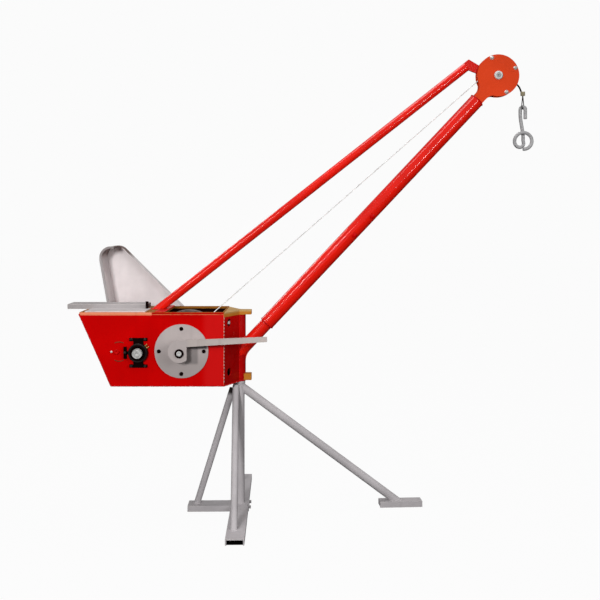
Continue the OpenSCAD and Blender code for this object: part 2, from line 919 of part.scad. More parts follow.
// ---- Boom and brace ----

module along_boom() {
    translate(boom_at) rotate([0, -boom_angle, 0]) children();
}

module boom_stub() {
    // Middle of the gusset's hollow edge: it touches the sleeve's front and the stub's underside
    hollow = boom_at + [gusset_r, 0, -stub_d / 2 / cos(boom_angle)
        - gusset_r * (1 / cos(boom_angle) - tan(boom_angle))];
    color("red")
        difference() {
            union() {
                along_boom() rotate([0, 90, 0]) cylinder(d = stub_d, h = stub_l + stub_in);
                along_boom() rotate([0, 90, 0]) translate([0, 0, -stub_d]) cylinder(d = stub_d, h = stub_d + over);
                slab(-gusset_t / 2, gusset_t / 2)
                    difference() {
                        polygon([
                            at_plane(boom_at) - [sleeve_r / 2, 0],
                            [boom_at[0] - sleeve_r / 2, hollow[2]],
                            [hollow[0], hollow[2]],
                            at_plane(hollow) + gusset_r * [-sin(boom_angle), cos(boom_angle)],
                            at_plane(boom_at + stub_l / 2 * boom_dir)
                        ]);
                        translate(at_plane(hollow)) circle(r = gusset_r);
                    }
            }
            along_boom() rotate([0, 90, 0]) cylinder(d = stub_d - 2 * stub_wall, h = huge);
            cylinder(d = sleeve_d + 2 * fit, h = huge);
            translate([fit - huge, -huge / 2, 0]) cube(huge);
        }
}

module boom_tube() {
    color("red")
        along_boom()
        translate([stub_l, 0, 0])
        rotate([0, 90, 0])
        difference() {
            cylinder(d = boom_d, h = boom_end - stub_l);
            translate([0, 0, -over]) cylinder(d = boom_bore, h = boom_end - stub_l - boom_cap_t + over);
        }
}

// Pad across the top plate behind the drum opening, which the foot of the brace stands on
module brace_pad() {
    color("red")
        translate([-mouth_front - mouth_l - brace_pad_l, -half_w + brace_pad_inset, deck_z])
        cube([brace_pad_l, box_w - 2 * brace_pad_inset, brace_pad_t]);
}

module brace_tube() {
    color("red")
        difference() {
            translate(brace_foot)
                rotate([0, 90 - brace_angle, 0])
                difference() {
                    translate([0, 0, -brace_d]) cylinder(d = brace_d, h = brace_l + brace_d);
                    translate([0, 0, -2 * brace_d])
                        cylinder(d = brace_d - 2 * brace_wall, h = brace_l + 2 * brace_d - brace_wall);
                }
            translate([-huge / 2, -huge / 2, -huge]) cube([huge, huge, huge + deck_z + fit]);
            translate([-mouth_front - mouth_l - brace_pad_l - fit, -huge / 2, 0])
                cube([huge, huge, deck_z + brace_pad_t + fit]);
        }
}

module brace_lug() {
    way = unit(head_at - lug_at);
    across = [-way[2], 0, way[0]];
    boss = head_at - (head_r - lug_boss_d / 2 - 2) * way;
    brace_way = polar(brace_angle);
    brace_up = polar(brace_angle + 90);
    start = lug_at + fit * brace_way;
    color("red") {
        slab(-lug_t / 2, lug_t / 2)
            polygon([
                at_plane(start - brace_d / 2 * brace_up),
                at_plane(boss - lug_boss_d / 2 * across),
                at_plane(boss + lug_boss_d / 2 * across),
                at_plane(start + brace_d / 2 * brace_up + lug_peak * brace_way),
                at_plane(start + brace_d / 2 * brace_up)
            ]);
        y_rod(boss, lug_boss_d, -gap_half + fit, gap_half - fit);
    }
}

// ---- Head ----

// A round plate whose neck flares out of the boom's end; the neck points along -X, below the plate's middle
module head_outline() {
    hollows = [
        for (side = [-1, 1])
            let (y = side * (neck_w / 2 + neck_r) - head_rise)
            [-sqrt(pow(head_r + neck_r - over, 2) - y * y), y]
    ];
    circle(r = head_r);
    translate([-neck_l + fit, -head_rise - neck_w / 2]) square([neck_l, neck_w]);
    difference() {
        polygon([[0, 0], hollows[1], hollows[0]]);
        for (at = hollows) translate(at) circle(r = neck_r);
    }
}

module head_plate(y0, y1) {
    difference() {
        slab(y0, y1)
            translate(at_plane(head_at))
            rotate(boom_angle)
            head_outline();
        y_rod(head_at, axle_d + 2 * fit, y0 - over, y1 + over);
    }
}

module near_head_plate() {
    color("orangered") head_plate(-head_w / 2, -gap_half);
}

module far_head_plate() {
    color("orangered") head_plate(gap_half, head_w / 2);
}

module head_spacers() {
    color("silver")
        for (i = [0:2])
            y_rod(
                head_at + spacer_circle / 2 * polar(i * spacer_step - spacer_low),
                spacer_d,
                -gap_half + fit,
                gap_half - fit
            );
}

module sheave_axle() {
    color("white") {
        y_rod(head_at, axle_d, -head_w / 2 - axle_head_t, head_w / 2 + axle_head_t);
        y_rod(head_at, axle_head_d, -head_w / 2 - axle_head_t, -head_w / 2);
        y_rod(head_at, axle_head_d, head_w / 2, head_w / 2 + axle_head_t);
    }
}

module sheave() {
    groove_r = rope_d / 2 + run;
    color("gray")
        translate(head_at)
        rotate([90, 0, 0])
        rotate_extrude()
        difference() {
            union() {
                translate([axle_d / 2 + run, -sheave_w / 2]) square([sheave_d / 2 - axle_d / 2 - run, sheave_w]);
                translate([axle_d / 2 + run, -gap_half + run]) square([sheave_hub_t, 2 * (gap_half - run)]);
            }
            translate([pitch_r, 0]) circle(r = groove_r);
            polygon([
                [pitch_r, -groove_r],
                [pitch_r, groove_r],
                [sheave_d / 2 + over, sheave_w / 2 - sheave_lip],
                [sheave_d / 2 + over, -sheave_w / 2 + sheave_lip]
            ]);
        }
}

// ---- Rope and hook ----

rope_points = concat(
    [drum_at + leave_r * polar(rope_side)],
    [for (i = [0:12]) head_at + pitch_r * polar(rope_side + (rope_exit_angle - rope_side) * i / 12)],
    [
        rope_bend - rope_d * polar(rope_exit_angle - 90),
        rope_bend + [rope_d / 2, 0, -rope_d],
        [rope_end_x, 0, ferrule_top + fit]
    ]
);

module rope_run() {
    color("dimgray") swept(rope_points, rope_d, [0, 1, 0]);
}

module ferrule() {
    side = (ferrule_w - ferrule_t) / 2;
    color("tan")
        translate([eye_x, 0, ferrule_top - ferrule_h])
        linear_extrude(ferrule_h)
        union() {
            translate([-side, 0]) circle(d = ferrule_t);
            translate([side, 0]) circle(d = ferrule_t);
            square([2 * side, ferrule_t - over / 2], center = true);
        }
}

// Points of the rope eye, across the eye and up from the middle of its bend
function eye_point(u, z) = [eye_x + u * cos(eye_turn), u * sin(eye_turn), eye_bottom + rope_d / 2 + eye_r + z];
eye_throat = rope_d / 2 + 1;
eye_throat_z = eye_l - rope_d / 2 - eye_r - fit;
eye_tail = 5;
eye_points = concat(
    [eye_point(-eye_throat, eye_throat_z), eye_point(-eye_throat, eye_throat_z - eye_tail)],
    [for (a = [170:16:370]) eye_point(eye_r * cos(a), eye_r * sin(a))],
    [eye_point(eye_throat, eye_throat_z - eye_tail), eye_point(eye_throat, eye_throat_z)]
);

module rope_eye() {
    color("black") swept(eye_points, rope_d, [sin(eye_turn), -cos(eye_turn), 0]);
}

coil_start = 80;
coil_grow_from = 90;
coil_grow_over = 240;

// The hook is one bar: a short leg, a bend square to the rope eye, a shank and a coil that opens like a pig's tail
hook_across = [sin(eye_turn), -cos(eye_turn), 0];
function hook_bend_point(a) =
    [eye_x, 0, hook_bend_z] + hook_eye_r * (cos(a) * hook_across + [0, 0, sin(a)]);
function coil_point(a) =
    let (
        grown = max(0, min(1, (a - coil_grow_from) / coil_grow_over)),
        r = hook_first_r + (hook_coil_r - hook_first_r) * grown
    )
    [
        eye_x - hook_shift + (hook_first_r - hook_coil_r) * (1 - grown) + r * sin(a),
        hook_pitch * (0.5 - a / 360),
        eye_bottom - hook_drop + r * cos(a)
    ];
shank_top = hook_bend_point(180) - [0, 0, hook_leg_l / 2];
shank_foot = coil_point(coil_start) + [0, 0, hook_first_r / 2];
hook_points = concat(
    [hook_bend_point(0) - [0, 0, hook_leg_l]],
    [for (a = [0:18:180]) hook_bend_point(a)],
    [
        for (i = [0:6])
            let (t = i / 6, eased = t * t * (3 - 2 * t))
            [
                shank_top[0] + (shank_foot[0] - shank_top[0]) * eased,
                shank_top[1] + (shank_foot[1] - shank_top[1]) * eased,
                shank_top[2] + (shank_foot[2] - shank_top[2]) * t
            ]
    ],
    [for (a = [coil_start:15:hook_sweep]) coil_point(a)]
);

module hook() {
    color("gray") swept(hook_points, hook_d, [0, 1, 0]);
}

// ---- Drum and lever ----

module drum() {
    color("gray")
        difference() {
            union() {
                y_rod(drum_at, flange_d, -drum_near, -drum_near + flange_t);
                y_rod(drum_at, barrel_d, -drum_near + flange_t - over, wheel_near - fit);
            }
            y_rod(drum_at, drum_shaft_d + 2 * run, -drum_near - over, drum_far);
            y_rod(drum_at, barrel_d - 2 * barrel_wall, -drum_near + flange_t, drum_far);
        }
}

module drum_wheel() {
    mid = wheel_near + wheel_w / 2;
    color("silver")
        difference() {
            union() {
                difference() {
                    y_rod(drum_at, wheel_d, wheel_near, drum_far);
                    y_rod(drum_at, wheel_d - 2 * wheel_rim, wheel_near - over, drum_far + over);
                }
                y_rod(drum_at, wheel_d - wheel_rim, mid - wheel_web / 2, mid + wheel_web / 2);
                y_rod(drum_at, wheel_hub_d, wheel_near, drum_far);
            }
            y_rod(drum_at, drum_shaft_d + 2 * run, wheel_near - over, drum_far + over);
        }
}

module rope_coil() {
    mid = (wheel_near - drum_near + flange_t) / 2;
    color("dimgray")
        difference() {
            y_rod(drum_at, 2 * coil_r, mid - coil_w / 2, mid + coil_w / 2);
            y_rod(drum_at, barrel_d + 2 * fit, mid - coil_w / 2 - over, mid + coil_w / 2 + over);
        }
}

module lever_shaft() {
    color("black") {
        y_rod(drum_at, drum_shaft_d, -lever_y - lever_nut_t, half_w + cover_t + drum_shaft_reach);
        y_rod(drum_at, lever_nut_d, -lever_y - lever_nut_t, -lever_y - fit);
    }
}

module lever() {
    root = lever_hub_rise + lever_hub_d / 2 - over;
    hub_at = drum_at + [0, 0, lever_hub_rise];
    color("silver")
        difference() {
            union() {
                difference() {
                    y_rod(hub_at, lever_hub_d, -lever_y, -lever_y + lever_t);
                    translate(hub_at + [lever_hub_flat, -huge, -huge / 2]) cube(huge);
                }
                slab(-lever_y, -lever_y + lever_t)
                    translate(at_plane(drum_at))
                    polygon([
                        [0, root],
                        [lever_reach, root + lever_rise],
                        [lever_reach, root + lever_rise - lever_tip_h],
                        [0, root - lever_root_h]
                    ]);
            }
            y_rod(drum_at, drum_shaft_d + 2 * fit, -lever_y - over, 0);
        }
}

// ---- Input drive ----

module input_shaft() {
    end = half_w + bearing_depth;
    pinion_far = drum_far + (pinion_w - wheel_w) / 2;
    color("white") {
        y_rod(input_at, input_d, -end - input_collar_reach / 2, pulley_y + pulley_w);
        y_rod(input_at, input_collar_d, -end - input_collar_reach, -end);
        y_rod(input_at, pinion_d, pinion_far - pinion_w, pinion_far);
    }
}

module drive_pulley() {
    bore_r = input_d / 2 + fit;
    color("dimgray")
        translate(input_at + [0, pulley_y, 0])
        rotate([-90, 0, 0])
        rotate_extrude()
        difference() {
            union() {
                translate([pulley_d / 2 - pulley_rim, 0]) square([pulley_rim, pulley_w]);
                translate([bore_r, (pulley_w - pulley_web) / 2])
                    square([pulley_d / 2 - pulley_rim / 2 - bore_r, pulley_web]);
                translate([bore_r, 0]) square([pulley_hub_t, pulley_w]);
            }
            for (y = [pulley_w / 4, pulley_w * 3 / 4])
                polygon([
                    [pulley_d / 2 + over, y - pulley_groove / 2],
                    [pulley_d / 2 + over, y + pulley_groove / 2],
                    [pulley_d / 2 - pulley_groove, y + pulley_groove_foot / 2],
                    [pulley_d / 2 - pulley_groove, y - pulley_groove_foot / 2]
                ]);
        }
}

cross_beam();
side_beam();
fork_stub();
post();
thrust_collar();
left_strut();
near_strut();
far_strut();
front_strut();
front_foot();
near_side_plate();
far_side_plate();
rear_plate();
bottom_plate();
near_front_wall();
far_front_wall();
top_plate();
nose_plate();
lower_nose();
pivot_sleeve();
drum_cover();
cover_bolts();
far_drum_bearing();
near_input_bearing();
far_input_bearing();
motor_rail();
motor_plate();
rail_bolt();
guard_panel();
guard_rim();
boom_stub();
boom_tube();
brace_pad();
brace_tube();
brace_lug();
near_head_plate();
far_head_plate();
head_spacers();
sheave_axle();
rope_run();
ferrule();
rope_eye();
drum();
drum_wheel();
rope_coil();
lever_shaft();
lever();
input_shaft();
drive_pulley();
sheave();
hook();
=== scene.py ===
"""Looks for a slewing pipe-boom hoist: finishes, welds, bolts, rope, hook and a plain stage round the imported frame."""

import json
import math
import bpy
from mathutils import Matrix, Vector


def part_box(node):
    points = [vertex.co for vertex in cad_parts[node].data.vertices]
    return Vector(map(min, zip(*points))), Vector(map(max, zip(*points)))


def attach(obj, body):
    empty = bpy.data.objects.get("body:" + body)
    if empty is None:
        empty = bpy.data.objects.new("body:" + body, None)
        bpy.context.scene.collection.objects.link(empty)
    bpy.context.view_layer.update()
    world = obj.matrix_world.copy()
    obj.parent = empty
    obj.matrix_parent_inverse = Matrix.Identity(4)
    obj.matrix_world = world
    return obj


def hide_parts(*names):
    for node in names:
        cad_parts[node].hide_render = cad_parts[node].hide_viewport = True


bl_info = {
    "name": "Hoist crane looks",
    "version": (1, 1, 0),
    "blender": (4, 5, 0),
    "location": "View3D > Sidebar > Hoist crane",
    "description": "Finishes and small pieces for a slewing hoist crane on its fixed frame",
    "category": "Object",
}

import bpy
import numpy as np
from mathutils import Matrix, Vector

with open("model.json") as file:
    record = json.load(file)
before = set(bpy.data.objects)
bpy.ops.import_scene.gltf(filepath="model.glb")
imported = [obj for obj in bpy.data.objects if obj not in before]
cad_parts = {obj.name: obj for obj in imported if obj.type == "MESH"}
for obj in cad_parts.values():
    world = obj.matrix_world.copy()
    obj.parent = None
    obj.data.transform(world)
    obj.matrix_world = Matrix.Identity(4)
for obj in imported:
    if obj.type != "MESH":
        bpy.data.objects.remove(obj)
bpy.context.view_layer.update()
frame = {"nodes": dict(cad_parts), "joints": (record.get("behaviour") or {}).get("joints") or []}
NODES = frame["nodes"]
JOINTS = {joint["name"]: joint for joint in frame["joints"]}
ALONG = Vector((1, 0, 0))
UP = Vector((0, 0, 1))
NEAR = Vector((0, -1, 0))
SIDES = (-1, 1)


# ---- Places read from the frame ----

def low(node):
    return Vector([float(c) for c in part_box(node)[0]])


def high(node):
    return Vector([float(c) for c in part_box(node)[1]])


def box(node):
    return low(node), high(node)


def pivot(joint):
    return Vector(JOINTS[joint]["pos_m"])


def between(u, v, degrees):
    """The direction at an angle from u towards v, which stand square to each other."""
    return math.cos(math.radians(degrees)) * u + math.sin(math.radians(degrees)) * v


def polar(degrees):
    """A direction in the boom's plane, from its angle above the boom's level."""
    return between(ALONG, UP, degrees)


def both_faces(at, near_node, far_node):
    """At a place's X and Z, (place, direction) on the near node's near face and on the far node's far face."""
    return [(Vector((at.x, low(near_node).y, at.z)), NEAR), (Vector((at.x, high(far_node).y, at.z)), -NEAR)]


def square_to(axis):
    """Two directions square to a unit axis and to each other."""
    u = axis.orthogonal().normalized()
    return u, axis.cross(u)


def node_points(node):
    mesh = NODES[node].data
    points = np.empty(len(mesh.vertices) * 3)
    mesh.vertices.foreach_get("co", points)
    return points.reshape(-1, 3)


def tube(node):
    """(point on the axis, direction upwards, radius, lowest and highest reach along it) of a round pipe."""
    end_lean, rounds = 0.03, 3
    mesh = NODES[node].data
    normals = np.array([tuple(face.normal) for face in mesh.polygons])
    areas = np.array([face.area for face in mesh.polygons])
    keep = np.ones(len(areas), bool)
    for _ in range(rounds):
        spread = (normals[keep] * areas[keep, None]).T @ normals[keep]
        way = np.linalg.eigh(spread)[1][:, 0]
        keep = abs(normals @ way) < end_lean
    way = Vector(way if way[2] > 0 else -way).normalized()
    u, v = square_to(way)
    points = node_points(node)
    spans = [points @ np.array(axis) for axis in (u, v, way)]
    (left, right), (front, back), (start, end) = ((float(span.min()), float(span.max())) for span in spans)
    return u * ((left + right) / 2) + v * ((front + back) / 2), way, (right - left) / 2, start, end


def islands(node):
    """The middle of each loose part of a node."""
    points, parts = node_points(node).round(5), []
    for face in NODES[node].data.polygons:
        joined = {tuple(points[i]) for i in face.vertices}
        for part in [part for part in parts if part & joined]:
            parts.remove(part)
            joined |= part
        parts.append(joined)
    return [Vector((np.min(list(part), 0) + np.max(list(part), 0)) / 2) for part in parts]


# ---- Shader graphs ----

class Graph:
    """A node tree, with short calls that add a node and fill or link its inputs."""

    def __init__(self, tree):
        self.tree = tree

    def node(self, kind, inputs, **settings):
        made = self.tree.nodes.new(kind)
        for key, value in settings.items():
            setattr(made, key, value)
        for key, value in inputs.items():
            self.put(made.inputs[key], value)
        return made

    def put(self, socket, value):
        if isinstance(value, bpy.types.NodeSocket):
            self.tree.links.new(value, socket)
        elif socket.type == "RGBA":
            socket.default_value = (*value[:3], 1)
        else:
            socket.default_value = value

    def math(self, operation, a, b=0.0, clamp=False):
        return self.node("ShaderNodeMath", {0: a, 1: b}, operation=operation, use_clamp=clamp).outputs[0]

    def times(self, a, b):
        return self.math("MULTIPLY", a, b)


class Finish(Graph):
    """A material's shader graph, read in Object coordinates."""

    def __init__(self, name):
        self.material = bpy.data.materials.new(name)
        self.material.use_nodes = True
        super().__init__(self.material.node_tree)
        self.tree.nodes.clear()
        self.shader = self.tree.nodes.new("ShaderNodeBsdfPrincipled")
        output = self.tree.nodes.new("ShaderNodeOutputMaterial")
        self.tree.links.new(self.shader.outputs[0], output.inputs["Surface"])
        self.place = self.tree.nodes.new("ShaderNodeTexCoord").outputs["Object"]

    def set(self, **values):
        for key, value in values.items():
            self.put(self.shader.inputs[key.replace("_", " ")], value)

    def axis(self, i):
        return self.node("ShaderNodeSeparateXYZ", {0: self.place}).outputs[i]

    def noise(self, scale, detail=3.0, roughness=0.55):
        """Cloudy noise; scale is one number, or three for noise that is stretched along the axes."""
        place = self.place
        if isinstance(scale, tuple):
            place = self.node("ShaderNodeMapping", {"Vector": place, "Scale": scale}).outputs[0]
            scale = 1.0
        inputs = {"Vector": place, "Scale": scale, "Detail": detail, "Roughness": roughness}
        return self.node("ShaderNodeTexNoise", inputs).outputs[0]

    def ramp(self, value, start, end, low_value=0.0, high_value=1.0):
        inputs = {"Value": value, "From Min": start, "From Max": end, "To Min": low_value, "To Max": high_value}
        return self.node("ShaderNodeMapRange", inputs, interpolation_type="SMOOTHSTEP").outputs[0]

    def clouds(self, scale, detail=4.0, low_value=0.0, high_value=1.0):
        """Soft patches that run from one value to the other."""
        return self.ramp(self.noise(scale, detail), 0.3, 0.7, low_value, high_value)

    def mix(self, share, a, b):
        """From colour a to colour b, by share."""
        return self.node("ShaderNodeMix", {0: share, 6: a, 7: b}, data_type="RGBA").outputs[2]

    # Mixes a colour in by a mask: for stains, dirt and rust, and for painted light and shade
    def stain_and_painted_light(self, base, colour, share, strength):
        return self.mix(self.times(share, strength), base, colour)

    def bump(self, height, distance, strength):
        inputs = {"Height": height, "Distance": distance, "Strength": strength}
        self.set(Normal=self.node("ShaderNodeBump", inputs).outputs[0])

    def within(self, spans, soft):
        """1 where each axis lies in its span, (low, high) or None, with soft ends; low or high may be None."""
        share = None
        for i, span in enumerate(spans):
            for end, sign in zip(span or (), (1, -1)):
                if end is None:
                    continue
                part = self.ramp(self.axis(i), end - sign * soft, end + sign * soft)
                share = part if share is None else self.times(share, part)
        return share

    def edge(self, lo, hi, width):
        """1 along the edges of a box, 0 further in than width."""
        a, b, c = (self.math("MINIMUM", self.math("SUBTRACT", self.axis(i), lo[i]),
                             self.math("SUBTRACT", hi[i], self.axis(i))) for i in range(3))
        nearer, further = self.math("MINIMUM", a, b), self.math("MAXIMUM", a, b)
        return self.ramp(self.math("MAXIMUM", nearer, self.math("MINIMUM", further, c)), width, 0.0)


PRIMER = (0.09, 0.04, 0.025)
RUST = (0.17, 0.085, 0.04)
RUB_AND_HIGHLIGHT_WIDTH = 0.003


def shade(colour, factor):
    return tuple(min(1.0, channel * factor) for channel in colour[:3])


def zone(colour, strength, soft, x=None, y=None, z=None):
    """Stains, other paint, painted light and painted shade: a patch with soft ends, by its spans along the axes."""
    return (x, y, z), soft, colour, strength


def painted(name, colour, gloss, dirt, shine=0.3, relief=0.5, grain=260.0, chips=0.0, under=PRIMER, edges=None,
            edge_colour=None, zones=()):
    """Brushed-on machine paint: uneven colour, streaks, dust, chips to the primer, rubbed edges with painted highlight.

    edges is the box whose edges are rubbed and lightened as painted highlight; zones lists what zone gives.
    """
    f = Finish(name)
    base = f.mix(f.clouds(5.0), shade(colour, 0.9), shade(colour, 1.07))
    for spans, soft, other, strength in zones:
        base = f.stain_and_painted_light(base, other, f.within(spans, soft), strength)
    streak = f.ramp(f.noise((38, 38, 5), 4.0), 0.52, 0.78)
    base = f.stain_and_painted_light(base, shade(colour, 0.55), streak, dirt)
    speck = f.ramp(f.noise(420.0, 2.0), 0.6, 0.75)
    base = f.stain_and_painted_light(base, shade(under, 2.5), speck, dirt * 0.4)
    worn = f.ramp(f.noise(95.0, 5.0, 0.62), 0.75 - chips, 0.77 - chips)
    # Rubbed edges, lightened as painted highlight
    if edges:
        rub_and_highlight = f.times(f.edge(*edges, RUB_AND_HIGHLIGHT_WIDTH), f.ramp(f.noise(30.0, 4.0), 0.3, 0.5))
        base = f.stain_and_painted_light(base, edge_colour or shade(colour, 1.5), rub_and_highlight, 0.75)
    base = f.mix(worn, base, under)
    rough = f.clouds(26.0, 4.0, gloss * 0.75, gloss * 1.35)
    rough = f.math("ADD", rough, f.times(worn, 0.3), clamp=True)
    peel = f.times(f.noise(grain, 2.0), 0.25)
    height = f.math("SUBTRACT", f.math("ADD", peel, f.times(f.noise(grain / 7, 2.0), 0.5)), worn)
    f.set(Base_Color=base, Roughness=rough, Metallic=0.0, Specular_IOR_Level=shine)
    f.bump(height, 0.0005, relief)
    return f.material


def steel(name, colour, rough, rust=0.25, metal=0.85):
    """Bare or plated steel with fine brushing, grease and a little rust."""
    f = Finish(name)
    base = f.mix(f.clouds(30.0, 5.0), shade(colour, 0.7), shade(colour, 1.12))
    spots = f.ramp(f.noise(160.0, 5.0, 0.65), 0.66 - rust * 0.2, 0.74)
    base = f.stain_and_painted_light(base, RUST, spots, min(1.0, rust * 2))
    f.set(Base_Color=base, Metallic=metal, Roughness=f.clouds(120.0, 4.0, rough * 0.8, rough * 1.3))
    f.bump(f.noise(600.0, 2.0), 0.0002, 0.5)
    return f.material


def give(nodes, material):
    for node in nodes:
        slots = NODES[node].material_slots
        for slot in slots:
            slot.material = material
        if not slots:
            NODES[node].data.materials.append(material)


# ---- Mesh and path helpers ----

def new_object(name, data):
    made = bpy.data.objects.new(name, data)
    bpy.context.scene.collection.objects.link(made)
    return made


def mesh_object(name, mesh, body, material=None, smooth=True):
    piece = new_object(name, mesh)
    if material:
        mesh.materials.append(material)
    if smooth:
        mesh.shade_smooth()
    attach(piece, body)
    return piece


def path_mesh(paths):
    """Loose edges along each list of points."""
    points, edges = [], []
    for path in paths:
        start = len(points)
        points += [tuple(p) for p in path]
        edges += [(i, i + 1) for i in range(start, len(points) - 1)]
    mesh = bpy.data.meshes.new("path")
    mesh.from_pydata(points, edges, [])
    return mesh


def outward_points(places):
    """Loose points, each with the direction it faces."""
    mesh = bpy.data.meshes.new("points")
    mesh.from_pydata([tuple(at) for at, _ in places], [], [])
    outward = mesh.attributes.new("outward", "FLOAT_VECTOR", "POINT")
    for i, (_, way) in enumerate(places):
        outward.data[i].vector = way
    return mesh


def line(a, b, step=0.02):
    a, b = Vector(a), Vector(b)
    count = max(2, int((b - a).length / step) + 1)
    return [a.lerp(b, i / (count - 1)) for i in range(count)]


def lines(corners):
    """A line from each corner to the next."""
    return [line(a, b) for a, b in zip(corners, corners[1:])]


def stitches(a, b, length, gap):
    """Short lines with gaps between them."""
    a, b = Vector(a), Vector(b)
    whole = (b - a).length
    way = (b - a) / whole
    starts = [i * (length + gap) for i in range(int((whole + gap) / (length + gap)))]
    return [line(a + way * start, a + way * (start + length), length) for start in starts]


def ring(centre, axis, radius, count=40):
    """Points on a circle round axis, with the first one again at the end."""
    u, v = square_to(axis.normalized())
    return [Vector(centre) + radius * between(u, v, 360 * i / count) for i in range(count + 1)]


def cut_ring(centre, way, radius, stop):
    """The closed line where a pipe meets a surface; stop says how far a line along the pipe runs to it."""
    return [p + way * stop(p, way) for p in ring(centre, way, radius, 48)]


def to_height(z):
    return lambda p, way: (z - p.z) / way.z


def to_post(radius, side=-1):
    """Distance along a line to an upright cylinder on the slewing axis."""
    def stop(p, way):
        a = way.x ** 2 + way.y ** 2
        b = p.x * way.x + p.y * way.y
        c = p.x ** 2 + p.y ** 2 - radius ** 2
        return (-b + side * math.sqrt(max(0.0, b * b - a * c))) / a
    return stop


def turned(name, places, profile, material, count=40, body="crane", smooth=True):
    """One piece of like turned parts, each at (place, axis); the profile lists (radius, height) pairs."""
    points, faces = [], []
    for place, axis in places:
        rows = []
        for radius, height in profile:
            rows.append(range(len(points), len(points) + count))
            points += [tuple(p) for p in ring(place + axis * height, axis, radius, count)[:-1]]
        for row, above in zip(rows, rows[1:]):
            faces += [(row[k - 1], row[k], above[k], above[k - 1]) for k in range(count)]
        faces += [tuple(reversed(rows[0])), tuple(rows[-1])]
    mesh = bpy.data.meshes.new(name)
    mesh.from_pydata(points, [], faces)
    return mesh_object(name, mesh, body, material, smooth)


# ---- Geometry Nodes ----

class Tree(Graph):
    """A Geometry Nodes tree that takes a path or points, numbers and a material."""

    def __init__(self, name, floats, integers):
        super().__init__(bpy.data.node_groups.new(name, "GeometryNodeTree"))
        inputs = [("Geometry", "Geometry"), *((label, "Float") for label in floats),
                  *((label, "Int") for label in integers), ("Material", "Material")]
        self.tree.interface.new_socket("Geometry", in_out="OUTPUT", socket_type="NodeSocketGeometry")
        for label, kind in inputs:
            self.tree.interface.new_socket(label, in_out="INPUT", socket_type="NodeSocket" + kind)
        self.given = self.tree.nodes.new("NodeGroupInput").outputs

    def add(self, kind, inputs, output=0, **settings):
        """An output of a new geometry node."""
        return self.node("GeometryNode" + kind, inputs, **settings).outputs[output]

    def vector(self, operation, inputs):
        return self.node("ShaderNodeVectorMath", inputs, operation=operation).outputs[0]

    def random(self, start, end):
        inputs = {"Seed": self.given["Seed"], 2: start, 3: end}
        return self.node("FunctionNodeRandomValue", inputs, data_type="FLOAT").outputs[1]

    def turned_to(self, way, axis):
        return self.node("FunctionNodeAlignRotationToVector", {"Vector": way}, axis=axis).outputs[0]

    def curve(self):
        return self.add("MeshToCurve", {"Mesh": self.given["Geometry"]})

    def even(self, curve):
        return self.add("ResampleCurve", {0: curve, "Length": self.given["Step"]}, mode="LENGTH")

    def swept(self, curve, radius):
        profile = self.add("CurvePrimitiveCircle", {"Resolution": self.given["Sides"], "Radius": radius})
        return self.add("CurveToMesh", {"Curve": curve, "Profile Curve": profile, "Fill Caps": True})

    def finish(self, geometry):
        """Realizes the instances and sets the material."""
        real = self.add("RealizeInstances", {"Geometry": geometry})
        coated = self.add("SetMaterial", {"Geometry": real, "Material": self.given["Material"]})
        self.tree.links.new(coated, self.tree.nodes.new("NodeGroupOutput").inputs[0])
        return self.tree


def run_tree(mesh, tree, values, name, body):
    """Runs a tree on a mesh of points or edges and keeps its result as a plain mesh piece."""
    holder = new_object(name + "_path", mesh)
    modifier = holder.modifiers.new("build", "NODES")
    modifier.node_group = tree
    for item in tree.interface.items_tree:
        if item.in_out == "INPUT" and item.name in values:
            modifier[item.identifier] = values[item.name]
    holder.update_tag()
    evaluated = holder.evaluated_get(bpy.context.evaluated_depsgraph_get())
    result = bpy.data.meshes.new_from_object(evaluated)
    result.name = name
    holder.modifiers.remove(modifier)
    bpy.data.objects.remove(holder)
    bpy.data.meshes.remove(mesh)
    if not len(result.polygons):
        raise RuntimeError(name + " came out empty")
    return mesh_object(name, result, body)


def bead_tree():
    """Weld beads: overlapping round ripples along a path."""
    t = Tree("weld_beads", ["Width", "Pitch"], ["Seed"])
    points = t.node("GeometryNodeCurveToPoints", {0: t.curve(), "Length": t.given["Pitch"]}, mode="LENGTH")
    ball = t.add("MeshIcoSphere", {"Radius": 0.5, "Subdivisions": 2})
    return t.finish(t.add("InstanceOnPoints", {
        "Points": points.outputs[0], "Instance": ball, "Rotation": t.turned_to(points.outputs["Tangent"], "X"),
        "Scale": t.times(t.given["Width"], t.random(0.85, 1.15))}))


def bolt_tree():
    """Chamfered hexagon heads on washers at each point, standing along the point's outward direction."""
    corner, crown, sides = 0.577, 0.44, 6
    t = Tree("bolt_heads", ["Head width", "Head height", "Washer"], ["Seed"])
    width, height = t.given["Head width"], t.given["Head height"]

    def along_z(value):
        return t.node("ShaderNodeCombineXYZ", {"Z": value}).outputs[0]

    corner_r = t.times(width, corner)
    head = t.add("MeshCylinder", {"Vertices": sides, "Radius": corner_r, "Depth": t.times(height, 0.8)})
    top = t.add("MeshCone", {"Vertices": sides, "Radius Top": t.times(width, crown), "Radius Bottom": corner_r,
                             "Depth": t.times(height, 0.2)})
    washer = t.add("MeshCylinder", {"Vertices": 24, "Radius": t.given["Washer"], "Depth": t.times(height, 0.3)})
    whole = t.node("GeometryNodeJoinGeometry", {})
    for part, lift in ((head, 0.4), (top, 0.8), (washer, 0.0)):
        raised = t.add("Transform", {"Geometry": part, "Translation": along_z(t.times(height, lift))})
        t.tree.links.new(raised, whole.inputs[0])
    outward = t.add("InputNamedAttribute", {"Name": "outward"}, data_type="FLOAT_VECTOR")
    placed = t.add("InstanceOnPoints", {"Points": t.given["Geometry"], "Instance": whole.outputs[0],
                                        "Rotation": t.turned_to(outward, "Z")})
    return t.finish(t.add("RotateInstances", {"Instances": placed, "Rotation": along_z(t.random(0.0, 1.0))}))


